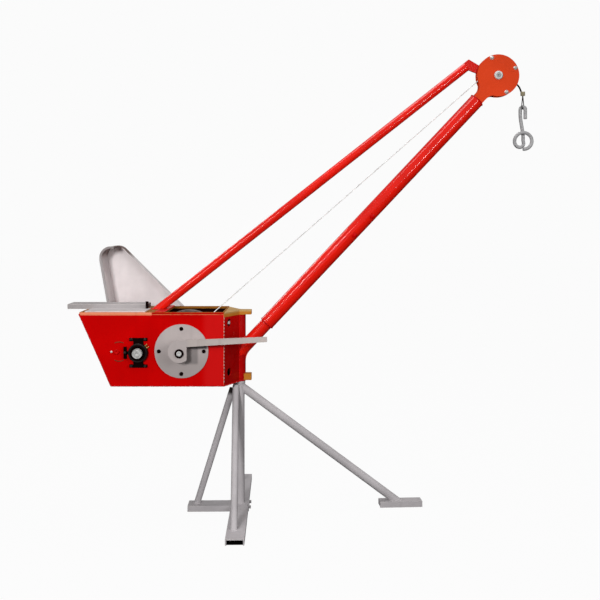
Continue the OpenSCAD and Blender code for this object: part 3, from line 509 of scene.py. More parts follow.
def rope_tree():
    """A laid wire rope: strands that wind round the path."""
    strand_reach, strand_radius = 0.3333, 0.172
    t = Tree("laid_rope", ["Diameter", "Lay", "Step"], ["Strands", "Sides"])
    copies = t.node("GeometryNodeDuplicateElements",
                    {"Geometry": t.even(t.curve()), "Amount": t.given["Strands"]}, domain="SPLINE")
    along = t.add("SplineParameter", {}, "Length")
    share = t.math("DIVIDE", copies.outputs["Duplicate Index"], t.given["Strands"])
    turns = t.math("ADD", t.math("DIVIDE", along, t.given["Lay"]), share)
    angle = t.times(turns, 2 * math.pi)
    normal = t.add("InputNormal", {})
    side = t.vector("CROSS_PRODUCT", {0: t.add("InputTangent", {}), 1: normal})
    out = t.vector("SCALE", {0: normal, "Scale": t.math("COSINE", angle)})
    over = t.vector("SCALE", {0: side, "Scale": t.math("SINE", angle)})
    reach = t.vector("SCALE", {0: t.vector("ADD", {0: out, 1: over}),
                               "Scale": t.times(t.given["Diameter"], strand_reach)})
    wound = t.add("SetPosition", {"Geometry": copies.outputs[0], "Offset": reach})
    return t.finish(t.swept(wound, t.times(t.given["Diameter"], strand_radius)))


def bar_tree():
    """A round bar bent along a path."""
    t = Tree("bent_bar", ["Diameter", "Step"], ["Sides"])
    smooth = t.add("CurveSplineType", {"Curve": t.curve()}, spline_type="CATMULL_ROM")
    fine = t.add("SetSplineResolution", {0: smooth, "Resolution": 6})
    return t.finish(t.swept(t.even(fine), t.times(t.given["Diameter"], 0.5)))


# ---- Settings ----

def colour_value(name, description, default):
    return bpy.props.FloatVectorProperty(
        name=name, description=description, subtype="COLOR", size=3, min=0, max=1, default=default)


def length_value(name, description, default):
    return bpy.props.FloatProperty(name=name, description=description, unit="LENGTH", default=default)


def angle_value(name, description, degrees):
    return bpy.props.FloatProperty(name=name, description=description, unit="ROTATION", default=math.radians(degrees))


class FinishSettings(bpy.types.PropertyGroup):
    red: colour_value("Red paint", "Colour of the winch box and the boom", (0.52, 0.0008, 0.001))
    pipe: colour_value("Pipe paint", "Colour of the boom and the brace", (0.56, 0.008, 0.003))
    lever: colour_value("Lever paint", "Colour of the lever's arm", (0.46, 0.405, 0.38))
    # Painted light: the head plates' red is lighter and more orange than the box's, for the warm light on them
    head: colour_value("Head paint", "Colour of the head plates, faded by the sun", (0.62, 0.05, 0.012))
    grey: colour_value("Grey paint", "Colour of the stand", (0.44, 0.415, 0.425))
    pale: colour_value("Pale paint", "Colour of the belt guard and the motor's seat", (0.72, 0.67, 0.67))
    plate: colour_value("Cover paint", "Colour of the drum cover", (0.42, 0.37, 0.36))
    ochre: colour_value("Ochre paint", "Colour of the top frame and the nose plates", (0.66, 0.25, 0.03))


class WeldSettings(bpy.types.PropertyGroup):
    bead: length_value("Bead width", "Width of a weld bead", 0.007)
    pitch: length_value("Ripple", "Distance from one ripple of a bead to the next", 0.0035)
    stitch: length_value("Stitch length", "Length of a weld stitch on the box's corners", 0.004)
    gap: length_value("Stitch gap", "Gap between the weld stitches", 0.0125)


class RopeSettings(bpy.types.PropertyGroup):
    diameter: length_value("Rope diameter", "Diameter of the wire rope", 0.005)
    lay: length_value("Lay", "Length of one turn of a strand", 0.034)
    strands: bpy.props.IntProperty(name="Strands", description="Strands in the rope", default=6, min=3, max=8)
    pitch_radius: length_value("Pitch radius", "Radius of the rope on the sheave", 0.047)
    exit_angle: angle_value("Exit angle", "Angle on the sheave where the rope leaves it", 41.7)
    end_length: length_value("End length", "Rope from the sheave to the bend above the ferrule", 0.117)
    end_lead: length_value("End lead", "Sideways run of the rope from the bend to the ferrule", 0.011)
    eye_turn: angle_value("Eye turn", "Turn of the rope eye out of the boom's plane", 60)
    eye_radius: length_value("Eye radius", "Radius of the rope eye's bend", 0.018)
    eye_length: length_value("Eye length", "Length of the rope eye below the ferrule", 0.072)


class HookSettings(bpy.types.PropertyGroup):
    bar: length_value("Bar", "Diameter of the hook's bar", 0.018)
    bend: length_value("Top bend", "Radius of the bend in the rope eye", 0.013)
    leg: length_value("Leg", "Length of the short leg", 0.05)
    drop: length_value("Coil drop", "Middle of the coil below the rope eye", 0.163)
    shift: length_value("Coil shift", "Middle of the coil behind the rope eye", 0.001)
    coil: length_value("Coil radius", "Radius of the coil at its open end", 0.0432)
    first: length_value("First radius", "Radius of the coil where it leaves the shank", 0.024)
    pitch: length_value("Coil pitch", "Sideways run of one turn of the coil", 0.024)
    sweep: angle_value("Coil end", "Angle where the coil ends", 555)


class StageSettings(bpy.types.PropertyGroup):
    camera_x: length_value("Camera X", "Camera's place along the boom", 0.311)
    camera_distance: length_value("Camera distance", "Camera's distance from the boom's plane", 4.4)
    camera_height: length_value("Camera height", "Camera's height above the floor", 1.468)
    floor_size: length_value("Floor size", "Side of the square floor", 60.0)
    shade_reach: bpy.props.FloatProperty(
        name="Shade reach", description="Share of a beam's footprint that lies in deep shade",
        default=0.985, min=0.5, max=1.0)
    key: bpy.props.FloatProperty(name="Key light", description="Power of the key light in watts", default=148.0)


# ---- Operators ----

class CRANE_OT_finishes(bpy.types.Operator):
    """Give every node of the frame its finish"""
    bl_idname = "crane.finishes"
    bl_label = "Finishes"

    def execute(self, context):
        s = context.scene.crane_finish
        box_low, box_high = box("near_side_plate")
        far_y, front, top = high("far_side_plate").y, box_high.x, box_high.z
        seat_end = front - 0.36
        black, arc_dark_reflection, orange_highlight, wear_and_highlight = (0.006, 0.002, 0.002), (0.07, 0.025, 0.015), (0.8, 0.26, 0.14), (0.6, 0.56, 0.54)

        # Zones: painted light and shade on the box and in it, a strip of red paint on the deck, and the guard's lip
        # Painted black shade inside the box: the far plate's inner face and the bottom plate's top
        inside_far = [zone(black, 1.0, 0.0005, y=(None, far_y - 0.001))]
        inside_bottom = [zone(black, 1.0, 0.001, z=(low("bottom_plate").z + 0.002, None))]
        # Painted shade on the front walls' tops
        painted_wall_top_shade = [zone(shade(s.red, 0.92), 1.0, 0.06, z=(top - 0.09, None))]
        # Near plate: painted shade along its top under the open frame
        side_highlight_and_shade = [zone(shade(s.red, 0.86), 0.8, 0.012, x=(seat_end, front - 0.02), z=(top - 0.02, None)),
                     # Painted highlight along its top edge behind the seat
                     zone(orange_highlight, 0.9, 0.002, x=(None, seat_end), z=(top - 0.004, None)),
                     # Slightly lighter red near its front end
                     zone((0.56, 0.008, 0.008), 0.8, 0.02, x=(front - 0.1, front))]
        # Deck: a strip of the box's red paint along its near edge
        deck_paint_and_glare = [zone(shade(s.red, 0.8), 1.0, 0.003, y=(None, box_low.y + 0.009)),
                # Painted glare along that edge behind the seat
                zone(orange_highlight, 1.0, 0.003, x=(None, seat_end), y=(None, box_low.y + 0.004))]
        # Painted highlight on the nose plate's top
        nose_top_highlight = [zone((0.52, 0.34, 0.13), 0.9, 0.005, z=(high("nose_plate").z - 0.006, None))]
        lip_y, arc_z = low("guard_rim").y + 0.004, high("guard_rim").z - 0.055
        # Guard's rim: a darker lip
        guard = [zone(shade(s.pale, 0.5), 1.0, 0.001, y=(None, lip_y)),
                 # Painted shade towards the panel
                 zone(shade(s.pale, 0.7), 0.5, 0.03, y=(far_y + 0.115, None)),
                 # Painted dark reflection in the top arc
                 zone(arc_dark_reflection, 0.85, 0.02, y=(lip_y, None), z=(arc_z, None))]

        # Welded plates: node, colour, gloss, dirt, shine, colour of the rubbed, painted-highlight edges, zones
        plates = [
            ("near_side_plate", s.red, 0.45, 0.1, 0.015, orange_highlight, side_highlight_and_shade),
            ("far_side_plate", s.red, 0.45, 0.1, 0.015, orange_highlight, inside_far),
            ("rear_plate", s.red, 0.45, 0.2, 0.03, None, ()),
            ("bottom_plate", s.red, 0.5, 0.3, 0.05, None, inside_bottom),
            # Front walls in a darker copy of the box's red: painted shade
            *((wall, shade(s.red, 0.66), 0.3, 0.2, 0.12, None, painted_wall_top_shade)
              for wall in ("near_front_wall", "far_front_wall")),
            # Sleeve in a darker copy of the box's red: painted shade
            ("pivot_sleeve", shade(s.red, 0.72), 0.25, 0.3, 0.45, None, ()),
            ("top_plate", shade(s.ochre, 0.4), 0.55, 0.3, 0.1, None, deck_paint_and_glare),
            ("nose_plate", shade(s.ochre, 0.72), 0.5, 0.4, 0.15, None, nose_top_highlight),
            ("lower_nose", shade(s.ochre, 0.68), 0.5, 0.4, 0.15, (0.3, 0.1, 0.02), ()),
            ("motor_rail", shade(s.pale, 0.52), 0.5, 0.2, 0.3, wear_and_highlight, ()),
            ("motor_plate", shade(s.pale, 0.72), 0.5, 0.2, 0.3, None, ()),
            ("brace_pad", shade(s.red, 0.9), 0.4, 0.3, 0.1, orange_highlight, ()),
            # Guard panel in a lighter copy of the rim's pale paint: painted light
            ("guard_panel", shade(s.pale, 1.15), 0.55, 0.1, 0.3, None, ()),
            ("guard_rim", s.pale, 0.5, 0.15, 0.35, None, guard),
            *((beam, s.grey, 0.5, 0.3, 0.35, wear_and_highlight, ())
              for beam in ("cross_beam", "side_beam", "fork_stub", "front_foot"))]
        for node, paint, gloss, dirt, shine, edge_colour, zones in plates:
            give([node], painted(node + "_paint", paint, gloss, dirt, shine, chips=0.012, edges=box(node),
                                 edge_colour=edge_colour, zones=zones))

        # Painted shadow on the strut tops under the box; painted shade and the lever's shadows on the drum cover
        x, _, z = pivot("drum_turn")
        # Painted shadow on the tops of the struts under the box
        strut_top_shadow = [zone((0.012, 0.009, 0.008), 1.0, 0.012, z=(box_low.z - 0.07, None))]
        # Drum cover: painted shade below the axle
        cover = [zone(shade(s.plate, 0.78), 1.0, 0.08, z=(None, z)),
                 # Painted shadow of the lever's hub
                 zone((0.09, 0.085, 0.085), 0.55, 0.008, x=(x + 0.02, x + 0.082), z=(z - 0.064, z + 0.02)),
                 # Black painted shadow under the lever's arm
                 zone((0.015, 0.013, 0.013), 0.8, 0.006, x=(x + 0.03, x + 0.128), z=(z + 0.011, z + 0.034))]
        hub = [zone(shade(s.plate, 0.95), 1.0, 0.012, x=(None, x + 0.045))]

        # Smooth paints: name, nodes, zones, colour, gloss, dirt, shine, relief, grain, chips
        stand = (s.grey, 0.4, 0.15, 0.3, 0.15, 40.0, 0.004)
        for name, nodes, zones, *look in (
                ("pipe_red_paint", ["boom_stub", "boom_tube", "brace_tube", "brace_lug"], (),
                 s.pipe, 0.14, 0.06, 0.4, 0.12, 30.0),
                ("head_paint", ["near_head_plate", "far_head_plate"], (), s.head, 0.35, 0.08, 0.06, 0.15, 40.0),
                ("stand_paint", ["post", "thrust_collar", "near_strut", "front_strut"], (), *stand),
                # Struts with the painted shadow on their tops
                ("greasy_stand_paint", ["left_strut", "far_strut"], strut_top_shadow, *stand),
                ("cover_paint", ["drum_cover"], cover, shade(s.plate, 1.12), 0.5, 0.15, 0.2, 0.25),
                ("bearing_paint", ["far_drum_bearing"], (), shade(s.plate, 1.1), 0.5, 0.15, 0.2, 0.25),
                ("lever_paint", ["lever"], hub, s.lever, 0.45, 0.25, 0.2, 0.25)):
            give(nodes, painted(name, *look, zones=zones))

        give(["cover_bolts", "near_input_bearing", "far_input_bearing", "rail_bolt", "lever_shaft"],
             painted("black_paint", (0.005, 0.0015, 0.0015), 0.5, 0.1, 0.07, under=(0.03, 0.008, 0.006)))
        give(["head_spacers", "sheave_axle", "input_shaft"], steel("bright_steel", (0.8, 0.79, 0.77), 0.3, 0.1, 0.5))
        give(["drum", "drum_wheel", "drive_pulley", "sheave", "hook"],
             steel("dull_steel", (0.42, 0.41, 0.4), 0.42, 0.2))
        give(["rope_run", "rope_coil", "rope_eye"], steel("rope_core_steel", (0.3, 0.29, 0.28), 0.5, 0.2))
        give(["ferrule"], steel("ferrule_metal", (0.36, 0.31, 0.2), 0.45, 0.1, 0.4))
        return {"FINISHED"}


class CRANE_OT_welds(bpy.types.Operator):
    """Lay the weld beads and stitches on the stand, the box, the boom and the brace"""
    bl_idname = "crane.welds"
    bl_label = "Welds"

    def execute(self, context):
        s, finish = context.scene.crane_weld, context.scene.crane_finish
        red = painted("weld_red_paint", shade(finish.red, 0.95), 0.35, 0.1)
        grey = painted("weld_grey_paint", shade(finish.grey, 0.95), 0.45, 0.2, 0.4)
        bare = steel("weld_bare_steel", (0.85, 0.8, 0.78), 0.35, 0.05, 0.6)

        # Stand; the rings at the strut tops stay clear of the box that turns above them
        stand, post_r = [], high("post").x
        ceiling = min(low("lower_nose").z, low("near_front_wall").z) - 1.5 * s.bead
        for node in ("left_strut", "near_strut", "far_strut", "front_strut"):
            centre, way, radius, _, _ = tube(node)
            stand.append(cut_ring(centre, way, radius, to_height(low(node).z)))
            top = cut_ring(centre, way, radius, to_post(post_r))
            stand.append([Vector((at.x, at.y, min(at.z, ceiling))) for at in top])
        for z in (high("cross_beam").z, low("thrust_collar").z):
            stand.append(ring((0, 0, z), UP, post_r))
        beam_low, beam_high = box("side_beam")
        stub_low, stub_high = box("fork_stub")
        stand.append(line((beam_high.x, beam_low.y, beam_high.z), beam_high))
        stand.append(line((stub_low.x, stub_low.y, stub_high.z), (stub_low.x, stub_high.y, stub_high.z)))

        # Box, brace pad, boom and brace
        seams, sunk, socket_step = [], 0.001, 0.0048
        (rear, _, bottom), (front, _, top) = box("near_side_plate")
        y, sleeve_r, floor_end = -low("near_side_plate").y, high("pivot_sleeve").x, low("bottom_plate").x
        for way in SIDES:
            seams += lines([(rear, way * y, top), (floor_end, way * y, bottom), (front, way * y, bottom),
                            (0, way * sleeve_r, bottom), (0, way * sleeve_r, top)])
        a, b = box("brace_pad")
        pad = ((a.x, a.y), (b.x, a.y), (b.x, b.y), (a.x, b.y), (a.x, a.y))
        seams += lines([(*corner, a.z + sunk) for corner in pad])
        centre, way, radius, start, end = tube("boom_tube")
        seams += [ring(centre + way * reach, way, radius - sunk) for reach in (start, end)]
        seams.append(cut_ring(centre, way, radius - socket_step, to_post(sleeve_r, 1)))
        centre, way, radius, _, _ = tube("brace_tube")
        seams.append(cut_ring(centre, way, radius, to_height(low("brace_tube").z)))

        # Stitches left bright on the box's corners, at the foot of the front walls and along the rail
        bright = []
        for side in SIDES:
            bright += stitches((front + sunk / 2, side * y, bottom + 0.02), (front + sunk, side * y, top - 0.01),
                               s.stitch, s.gap)
            for share in (0.08, 0.3, 0.75):
                at = Vector((front * (1 - share), side * (y + (sleeve_r - y) * share), bottom - sunk))
                bright.append([at, at + Vector((s.stitch, 0, 0))])
        rail_low, rail_high = box("motor_rail")
        bright += stitches(rail_low + Vector((0.12, 0, 0)), (rail_high.x, rail_low.y, rail_low.z), s.stitch, s.gap * 4)

        beads = bead_tree()
        for name, paths, width, material, body, slot in (
                ("stand_welds", stand, s.bead, grey, "stand", "grey_paint"),
                ("box_welds", seams, s.bead, red, "crane", "red_paint"),
                ("bright_welds", bright, s.bead * 0.65, bare, "crane", "bare_steel")):
            run_tree(path_mesh(paths), beads, {"Width": width, "Pitch": s.pitch, "Seed": 3, "Material": material},
                     name, body)
        return {"FINISHED"}


class CRANE_OT_bolts(bpy.types.Operator):
    """Set the bolts on the head plates, the bearings and the guard"""
    bl_idname = "crane.bolts"
    bl_label = "Bolts"

    def execute(self, context):
        bright = steel("bolt_bright_steel", (0.9, 0.88, 0.85), 0.3, 0.05, 0.6)
        dark = steel("bolt_dark_steel", (0.1, 0.095, 0.09), 0.45, 0.2)
        head = []
        for at in islands("head_spacers"):
            head += both_faces(at, "near_head_plate", "far_head_plate")

        lugs, inset, spread, thickness = [], 0.007, 0.034, 0.014
        plates = both_faces(pivot("input_turn"), "near_side_plate", "far_side_plate")
        for node, (at, way) in zip(("near_input_bearing", "far_input_bearing"), plates):
            at += way * thickness
            for z in (low(node).z + inset, high(node).z - inset):
                lugs += [(Vector((at.x + side * spread, at.y, z)), way) for side in SIDES]
            lugs.append((Vector((low(node).x + inset, at.y, at.z)), way))

        guard_y = high("far_side_plate").y + 0.003
        guard_places = ((-0.66, 0.9), (-0.56, 0.72), (-0.34, 0.76), (-0.2, 0.86))
        guard = [(Vector((x, guard_y, z)), -NEAR) for x, z in guard_places]

        bolts = bolt_tree()
        keys = ("Head width", "Head height", "Washer", "Seed", "Material")
        for name, places, slot, *values in (("head_bolts", head, "bare_steel", 0.013, 0.006, 0.0105, 5, bright),
                                            ("lug_bolts", lugs, "black_paint", 0.011, 0.006, 0.0068, 7, dark),
                                            ("guard_bolts", guard, "bare_steel", 0.01, 0.005, 0.009, 9, bright)):
            run_tree(outward_points(places), bolts, dict(zip(keys, values)), name, "crane")
        return {"FINISHED"}


class CRANE_OT_rope(bpy.types.Operator):
    """Lay the wire rope from the drum over the sheave to its eye, and wind it on the drum"""
    bl_idname = "crane.rope"
    bl_label = "Rope"

    def execute(self, context):
        s = context.scene.crane_rope
        head, drum = pivot("sheave_turn"), pivot("drum_turn")
        d, r = s.diameter, s.pitch_radius
        clearance, arc_steps = 0.0003, 24
        bright = steel("rope_steel", (0.9, 0.89, 0.88), 0.45, 0.03, 0.1)
        dark = steel("rope_dark_steel", (0.06, 0.05, 0.05), 0.45, 0.1)
        laid, bar = rope_tree(), bar_tree()
        values = {"Diameter": d, "Lay": s.lay, "Strands": s.strands, "Sides": 6, "Step": 0.0035}

        def lay(name, path, body, **changes):
            return run_tree(path_mesh([path]), laid, {**values, **changes}, name, body)

        # From the drum over the sheave to the ferrule
        coil_low, coil_high = box("rope_coil")
        winding_r = (coil_high.z - coil_low.z) / 2 - d / 2
        leave_r = winding_r + d + clearance
        span = head - drum
        side = 90 + math.degrees(math.atan2(span.z, span.x) - math.asin((r - leave_r) / span.length))
        leaving = math.degrees(s.exit_angle)
        down = polar(leaving - 90)
        leave = head + r * polar(leaving)
        bend = leave + s.end_length * down

        def bent_end(reach):
            """The rope's bend and its end, which goes reach past the ferrule's top."""
            return [bend + Vector((d / 2, 0, -d)), Vector((bend.x + s.end_lead, 0, high("ferrule").z - reach))]

        path = line(drum + leave_r * polar(side), head + r * polar(side))
        path += [head + r * polar(side + (leaving - side) * i / arc_steps) for i in range(1, arc_steps + 1)]
        path += line(leave, bend - d * down, 0.01)[1:] + bent_end(-0.0001)
        run = lay("laid_rope_run", path, "crane", Material=bright)
        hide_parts("rope_run")

        # Dark wrapping above the ferrule
        wrap_start, wrap_width = 0.72, 1.7
        path = line(leave.lerp(bend, wrap_start), bend - d * down, 0.01) + bent_end(0.001)
        run_tree(path_mesh([path]), bar, {"Diameter": d * wrap_width, "Sides": 14, "Step": 0.003, "Material": dark},
                 "rope_wrap", "crane")

        # Eye
        across = between(ALONG, -NEAR, math.degrees(s.eye_turn))
        centre = Vector(((low("ferrule").x + high("ferrule").x) / 2, 0, pivot("hook_swing").z + s.eye_radius))
        throat, straight = d / 2 + 0.001, 0.005
        throat_z = s.eye_length - d / 2 - s.eye_radius - 0.0001
        start, end = ([centre + across * side * throat + UP * z for z in (throat_z, throat_z - straight)]
                      for side in SIDES)
        arc = [centre + s.eye_radius * between(across, UP, a) for a in range(170, 371, 8)]
        loop = lay("laid_rope_eye", start + arc + end[::-1], "crane", Step=0.002, Material=dark)
        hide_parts("rope_eye")

        # Turns on the drum
        steps = arc_steps * int((coil_high.y - coil_low.y) / d)
        winding = []
        for i in range(steps + 1):
            at = drum + winding_r * polar(360 * i / arc_steps)
            at.y = coil_low.y + d / 2 + (coil_high.y - coil_low.y - d) * i / steps
            winding.append(at)
        coil = lay("laid_rope_coil", winding, "winch_drum", Sides=5, Step=0.005, Material=bright)
        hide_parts("rope_coil")
        return {"FINISHED"}


class CRANE_OT_hook(bpy.types.Operator):
    """Bend the pig's-tail hook from one round bar"""
    bl_idname = "crane.hook"
    bl_label = "Hook"

    def execute(self, context):
        s, rope = context.scene.crane_hook, context.scene.crane_rope
        clearance, shank_steps = 0.0003, 6
        coil_start, coil_step, grow_start, grow_turn = 80, 15, 90, 240
        pin = pivot("hook_swing")
        bottom = pin.z - rope.diameter / 2
        bend_z = pin.z + rope.diameter / 2 + clearance + s.bar / 2 - s.bend
        across = Vector((math.sin(rope.eye_turn), -math.cos(rope.eye_turn), 0))

        def on_bend(degrees):
            return Vector((pin.x, 0, bend_z)) + s.bend * between(across, UP, degrees)

        def on_coil(degrees):
            grown = max(0.0, min(1.0, (degrees - grow_start) / grow_turn))
            r = s.first + (s.coil - s.first) * grown
            a = math.radians(degrees)
            return Vector((pin.x - s.shift + (s.first - s.coil) * (1 - grown) + r * math.sin(a),
                           s.pitch * (0.5 - degrees / 360), bottom - s.drop + r * math.cos(a)))

        top = on_bend(180) - UP * (s.leg / 2)
        foot = on_coil(coil_start) + UP * (s.first / 2)
        path = [on_bend(0) - UP * s.leg] + [on_bend(a) for a in range(0, 181, 18)]
        for i in range(shank_steps + 1):
            t = i / shank_steps
            eased = t * t * (3 - 2 * t)
            at = top.lerp(foot, eased)
            at.z = top.z + (foot.z - top.z) * t
            path.append(at)
        path += [on_coil(a) for a in range(coil_start, round(math.degrees(s.sweep)) + 1, coil_step)]

        f = Finish("hook_steel")
        base = f.mix(f.clouds(60.0, 5.0), (0.34, 0.335, 0.34), (0.46, 0.455, 0.46))
        base = f.mix(f.ramp(f.noise((300, 300, 60), 4.0), 0.6, 0.85), base, (0.2, 0.19, 0.19))
        f.set(Base_Color=base, Metallic=0.2, Roughness=f.clouds(150.0, 3.0, 0.25, 0.4))
        f.bump(f.noise(220.0, 3.0), 0.0003, 0.25)
        piece = run_tree(path_mesh([path]), bar_tree(),
                         {"Diameter": s.bar, "Sides": 24, "Step": 0.004, "Material": f.material},
                         "bent_hook", "load_hook")
        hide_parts("hook")
        return {"FINISHED"}


# Turned profiles: (radius, height above the face that the part stands on)
NUT_FACE = ((0.0125, -0.002), (0.0125, 0.0012), (0.0112, 0.002), (0.004, 0.002), (0.003, 0.001), (0.001, 0.001))
SHAFT_CENTRE = ((0.017, -0.001), (0.017, 0.0008), (0.0155, 0.0018), (0.006, 0.0018), (0.0045, 0.0002), (0.001, -0.001))
AXLE_RING = ((0.0205, -0.002), (0.0215, 0.0005), (0.0205, 0.0015), (0.0125, 0.0015), (0.011, 0))
AXLE_CENTRE = ((0.0122, -0.001), (0.0122, 0.0008), (0.011, 0.0018), (0.003, 0.0018), (0.002, 0))
NIPPLE = ((0.0045, 0), (0.0045, 0.005), (0.0028, 0.006), (0.0028, 0.011), (0.0036, 0.0125), (0.0036, 0.014),
          (0.0015, 0.0165))
BEARING_RIM = ((0.047, -0.002), (0.047, 0.0012), (0.0445, 0.0024), (0.0415, 0.0024), (0.039, 0.0006), (0.039, -0.002))
SIDE_BOSS = ((0.013, -0.001), (0.013, 0.008), (0.011, 0.01), (0.006, 0.01), (0.005, 0.007))
SIDE_STUD = ((0.0055, -0.001), (0.0055, 0.005), (0.004, 0.007), (0.001, 0.0075))
WALL_PLUG = ((0.0205, 0), (0.0205, 0.003), (0.001, 0.003))
WALL_STUD = ((0.0085, 0), (0.0085, 0.006), (0.0065, 0.008), (0.001, 0.008))
BOOM_BOSS = ((0.016, -0.004), (0.015, 0), (0.011, 0.0025), (0.004, 0.003))


class CRANE_OT_fittings(bpy.types.Operator):
    """Add the turned fittings: nut and shaft faces, bearing rims, grease nipples, plugs, studs and bosses"""
    bl_idname = "crane.fittings"
    bl_label = "Fittings"

    def execute(self, context):
        bright = steel("fitting_bright_steel", (0.9, 0.89, 0.87), 0.3, 0.05, 0.5)
        brass = steel("fitting_brass", (0.75, 0.5, 0.16), 0.28, 0.0)
        dark = steel("fitting_dark_steel", (0.05, 0.045, 0.045), 0.4, 0.1)
        grey = steel("fitting_grey_steel", (0.42, 0.41, 0.4), 0.45, 0.1, 0.3)
        red = painted("boss_red_paint", context.scene.crane_finish.red, 0.3, 0.3, 0.2)
        rust = painted("boss_rust_paint", (0.22, 0.03, 0.015), 0.5, 0.4, 0.1)
        shaft = pivot("input_turn")

        # Faces of the lever's nut, the input shaft and the sheave's axle
        turned("lever_nut_face", both_faces(pivot("drum_turn"), "lever_shaft", "lever_shaft")[:1], NUT_FACE, bright,
               body="clutch_lever")
        turned("shaft_centre", both_faces(shaft, "input_shaft", "input_shaft")[:1], SHAFT_CENTRE, bright,
               body="input_drive")
        axle = both_faces(pivot("sheave_turn"), "sheave_axle", "sheave_axle")
        turned("axle_rings", axle, AXLE_RING, bright, 48)
        turned("axle_centres", axle, AXLE_CENTRE, grey, 32)

        # Input bearings
        nipple_inset, housing_r = 0.012, 0.046
        bearings = both_faces(shaft, "near_input_bearing", "far_input_bearing")
        nipples = [(at - way * nipple_inset + polar(degrees) * housing_r, polar(degrees))
                   for at, way in bearings for degrees in (30, 44)]
        turned("grease_nipples", nipples, NIPPLE, brass, 20)
        turned("bearing_rims", bearings, BEARING_RIM, dark, 64)

        # Boss, stud and rust arcs beside the near bearing
        box_low, box_high = box("near_side_plate")
        boss = Vector((low("near_input_bearing").x - 0.036, box_low.y, shaft.z + 0.004))
        turned("side_boss", [(boss, NEAR)], SIDE_BOSS, red)
        turned("side_stud", [(boss - Vector((0.026, 0, 0)), NEAR)], SIDE_STUD, bright)
        arc_middle, arc_r, arc_turn = boss + Vector((0.012, 0, 0)), 0.048, 50
        arcs = [[arc_middle + arc_r * polar(a) for a in range(start, start + arc_turn + 1, 5)] for start in (65, 245)]
        run_tree(path_mesh(arcs), bead_tree(), {"Width": 0.006, "Pitch": 0.003, "Seed": 11, "Material": rust},
                 "side_arcs", "crane")

        # Plugs and studs in the front walls' upper holes; share runs along a wall from the box to the sleeve
        share, below_top, plug_depth, stud_depth = 0.338, 0.046, 0.008, 0.006
        front, y, sleeve_r = box_high.x, -box_low.y, high("pivot_sleeve").x
        plugs, studs = [], []
        for side in SIDES:
            at = Vector((front * (1 - share), side * (y + (sleeve_r - y) * share), box_high.z - below_top))
            out = Vector((y - sleeve_r, side * -front, 0)).normalized()
            plugs.append((at - out * plug_depth, out))
            studs.append((at - out * stud_depth, out))
        turned("wall_plugs", plugs, WALL_PLUG, dark)
        turned("wall_studs", studs, WALL_STUD, bright, 6, smooth=False)

        # Bosses on the boom's near side
        rise, sunk = 0.011, 0.003
        centre, way, radius, _, _ = tube("boom_tube")
        spots = []
        for x in (0.578, 0.67):
            at = centre + way * ((x - centre.x) / way.x) + way.cross(NEAR) * rise
            spots.append((Vector((at.x, centre.y - radius + sunk, at.z)), NEAR))
        turned("boom_bosses", spots, BOOM_BOSS, red, 24)
        return {"FINISHED"}


WHITE = (1.0, 1.0, 1.0)
LENS, SENSOR_WIDTH, SHIFT_Y = 51, 36, -0.125
LAMP_AIM = Vector((0.2, 0, 1.1))
GLINT_DISTANCE = 3.0


def stage_sheet(name, corners, faces, finish):
    """A flat piece of the stage."""
    mesh = bpy.data.meshes.new(name)
    mesh.from_pydata(corners, [], faces)
    mesh.materials.append(finish.material)
    return new_object(name, mesh)


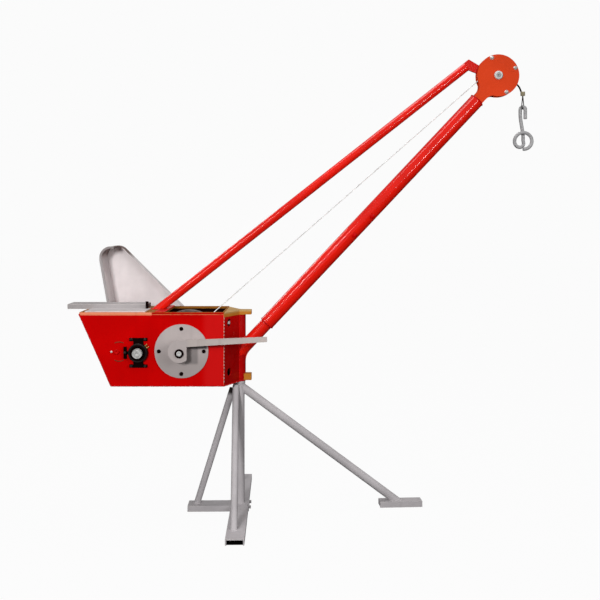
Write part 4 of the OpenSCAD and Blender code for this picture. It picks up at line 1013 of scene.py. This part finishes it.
class CRANE_OT_stage(bpy.types.Operator):
    """Add the floor, the lights and the camera"""
    bl_idname = "crane.stage"
    bl_label = "Stage"

    def execute(self, context):
        scene, s = context.scene, context.scene.crane_stage
        scene.view_settings.view_transform = "Standard"
        floor_glow, sky_light, sky_seen, shade_height = 0.96, 0.34, 0.965, 0.0008

        # Floor: dark to the light, white to the eye
        half = s.floor_size / 2
        paper = Finish("floor_paper")
        seen = paper.node("ShaderNodeLightPath", {}).outputs["Is Camera Ray"]
        paper.set(Base_Color=(0.012, 0.012, 0.012), Roughness=0.9, Specular_IOR_Level=0.0,
                  Emission_Color=WHITE, Emission_Strength=paper.times(seen, floor_glow))
        floor = stage_sheet("floor", [(-half, -half, 0), (half, -half, 0), (half, half, 0), (-half, half, 0)],
                            [(0, 1, 2, 3)], paper)

        # Deep shade under the stand's channels
        shadow = Finish("floor_shade")
        shadow.set(Base_Color=(0.004, 0.004, 0.004), Roughness=0.9, Specular_IOR_Level=0.0)
        corners, faces = [], []
        for node in ("cross_beam", "side_beam", "front_foot"):
            points = node_points(node)
            inner = points[points[:, 2] < 0.001][:, :2]
            middle = (inner.min(0) + inner.max(0)) / 2
            hull = [inner[np.argmax(inner @ np.array(way))] for way in ((-1, -0.3), (0.3, -1), (1, 0.3), (-0.3, 1))]
            faces.append([len(corners) + k for k in range(4)])
            corners += [(*(float(c) for c in middle + (at - middle) * s.shade_reach), shade_height) for at in hull]
        under = stage_sheet("floor_shade", corners, faces, shadow)

        world = bpy.data.worlds.new("studio")
        world.use_nodes = True
        sky = Graph(world.node_tree)
        seen = sky.node("ShaderNodeLightPath", {}).outputs["Is Camera Ray"]
        strength = sky.node("ShaderNodeMapRange", {"Value": seen, "To Min": sky_light, "To Max": sky_seen})
        background = world.node_tree.nodes["Background"].inputs
        sky.put(background["Color"], WHITE)
        sky.put(background["Strength"], strength.outputs[0])
        scene.world = world

        eye_place = Vector((s.camera_x, -s.camera_distance, s.camera_height))
        centre, tilt, radius, start, end = tube("boom_tube")
        across = tilt.cross(-NEAR)
        receivers = bpy.data.collections.new("glint_receivers")
        for node in ("boom_stub", "boom_tube", "brace_tube"):
            receivers.objects.link(NODES[node])

        def add_lamp(name, place, back, along, size, share):
            """An area lamp that looks away from back, its length along a direction, with a share of the key's power."""
            light = bpy.data.lights.new(name, "AREA")
            light.shape = "RECTANGLE"
            light.size, light.size_y = size
            light.energy = s.key * share
            lamp = new_object(name, light)
            side = along.cross(back).normalized()
            lamp.location = place
            lamp.rotation_euler = Matrix((side, back.cross(side), back)).transposed().to_euler()
            lamp.visible_camera = False
            return lamp

        for name, place, size, share in (("key", (-1.0, -4.7, 2.0), (0.6, 0.6), 1.0),
                                         ("fill", (3.2, -4.2, 2.2), (2.4, 2.4), 0.6),
                                         ("top", (-0.2, 0.4, 5.2), (4.0, 2.0), 0.7)):
            place = Vector(place)
            lamp = add_lamp(name, place, (place - LAMP_AIM).normalized(), UP, size, share)
            lamp.visible_glossy = name == "top"

        # Glints on the boom, each reach along it and degrees round from its near side, where it mirrors the lamp
        for name, reach, degrees, size, share in (("root_glint", start + 0.3, 23, (0.1, 1.1), 0.13),
                                                  ("root_edge", start + 0.3, 64, (0.25, 1.1), 0.12),
                                                  ("head_glint", end - 0.25, -5, (0.1, 0.9), 0.1)):
            out = between(NEAR, across, degrees)
            lit = centre + tilt * reach + out * radius
            view = (eye_place - lit).normalized()
            back = (2 * out.dot(view) * out - view).normalized()
            lamp = add_lamp(name, lit + back * GLINT_DISTANCE, back, tilt, size, share)
            lamp.light_linking.receiver_collection = receivers

        camera = bpy.data.cameras.new("camera")
        camera.sensor_width, camera.lens, camera.shift_y = SENSOR_WIDTH, LENS, SHIFT_Y
        eye = new_object("camera", camera)
        eye.location = eye_place
        eye.rotation_euler = (math.radians(90), 0, 0)
        scene.camera = eye
        return {"FINISHED"}


class CRANE_PT_panel(bpy.types.Panel):
    """Buttons for every piece of the crane's looks"""
    bl_label = "Hoist crane"
    bl_idname = "CRANE_PT_panel"
    bl_space_type = "VIEW_3D"
    bl_region_type = "UI"
    bl_category = "Hoist crane"

    def draw(self, context):
        for operator in OPERATORS:
            self.layout.operator(operator.bl_idname)


SETTINGS = {"crane_finish": FinishSettings, "crane_weld": WeldSettings, "crane_rope": RopeSettings,
            "crane_hook": HookSettings, "crane_stage": StageSettings}
OPERATORS = (CRANE_OT_finishes, CRANE_OT_welds, CRANE_OT_bolts, CRANE_OT_rope, CRANE_OT_hook,
             CRANE_OT_fittings, CRANE_OT_stage)
CLASSES = (*SETTINGS.values(), *OPERATORS, CRANE_PT_panel)


def register():
    for made in CLASSES:
        bpy.utils.register_class(made)
    for name, group in SETTINGS.items():
        setattr(bpy.types.Scene, name, bpy.props.PointerProperty(type=group))


def unregister():
    for name in SETTINGS:
        delattr(bpy.types.Scene, name)
    for made in reversed(CLASSES):
        bpy.utils.unregister_class(made)


def main():
    register()
    for operator in OPERATORS:
        group, name = operator.bl_idname.split(".")
        getattr(getattr(bpy.ops, group), name)()


if __name__ == "__main__":
    main()
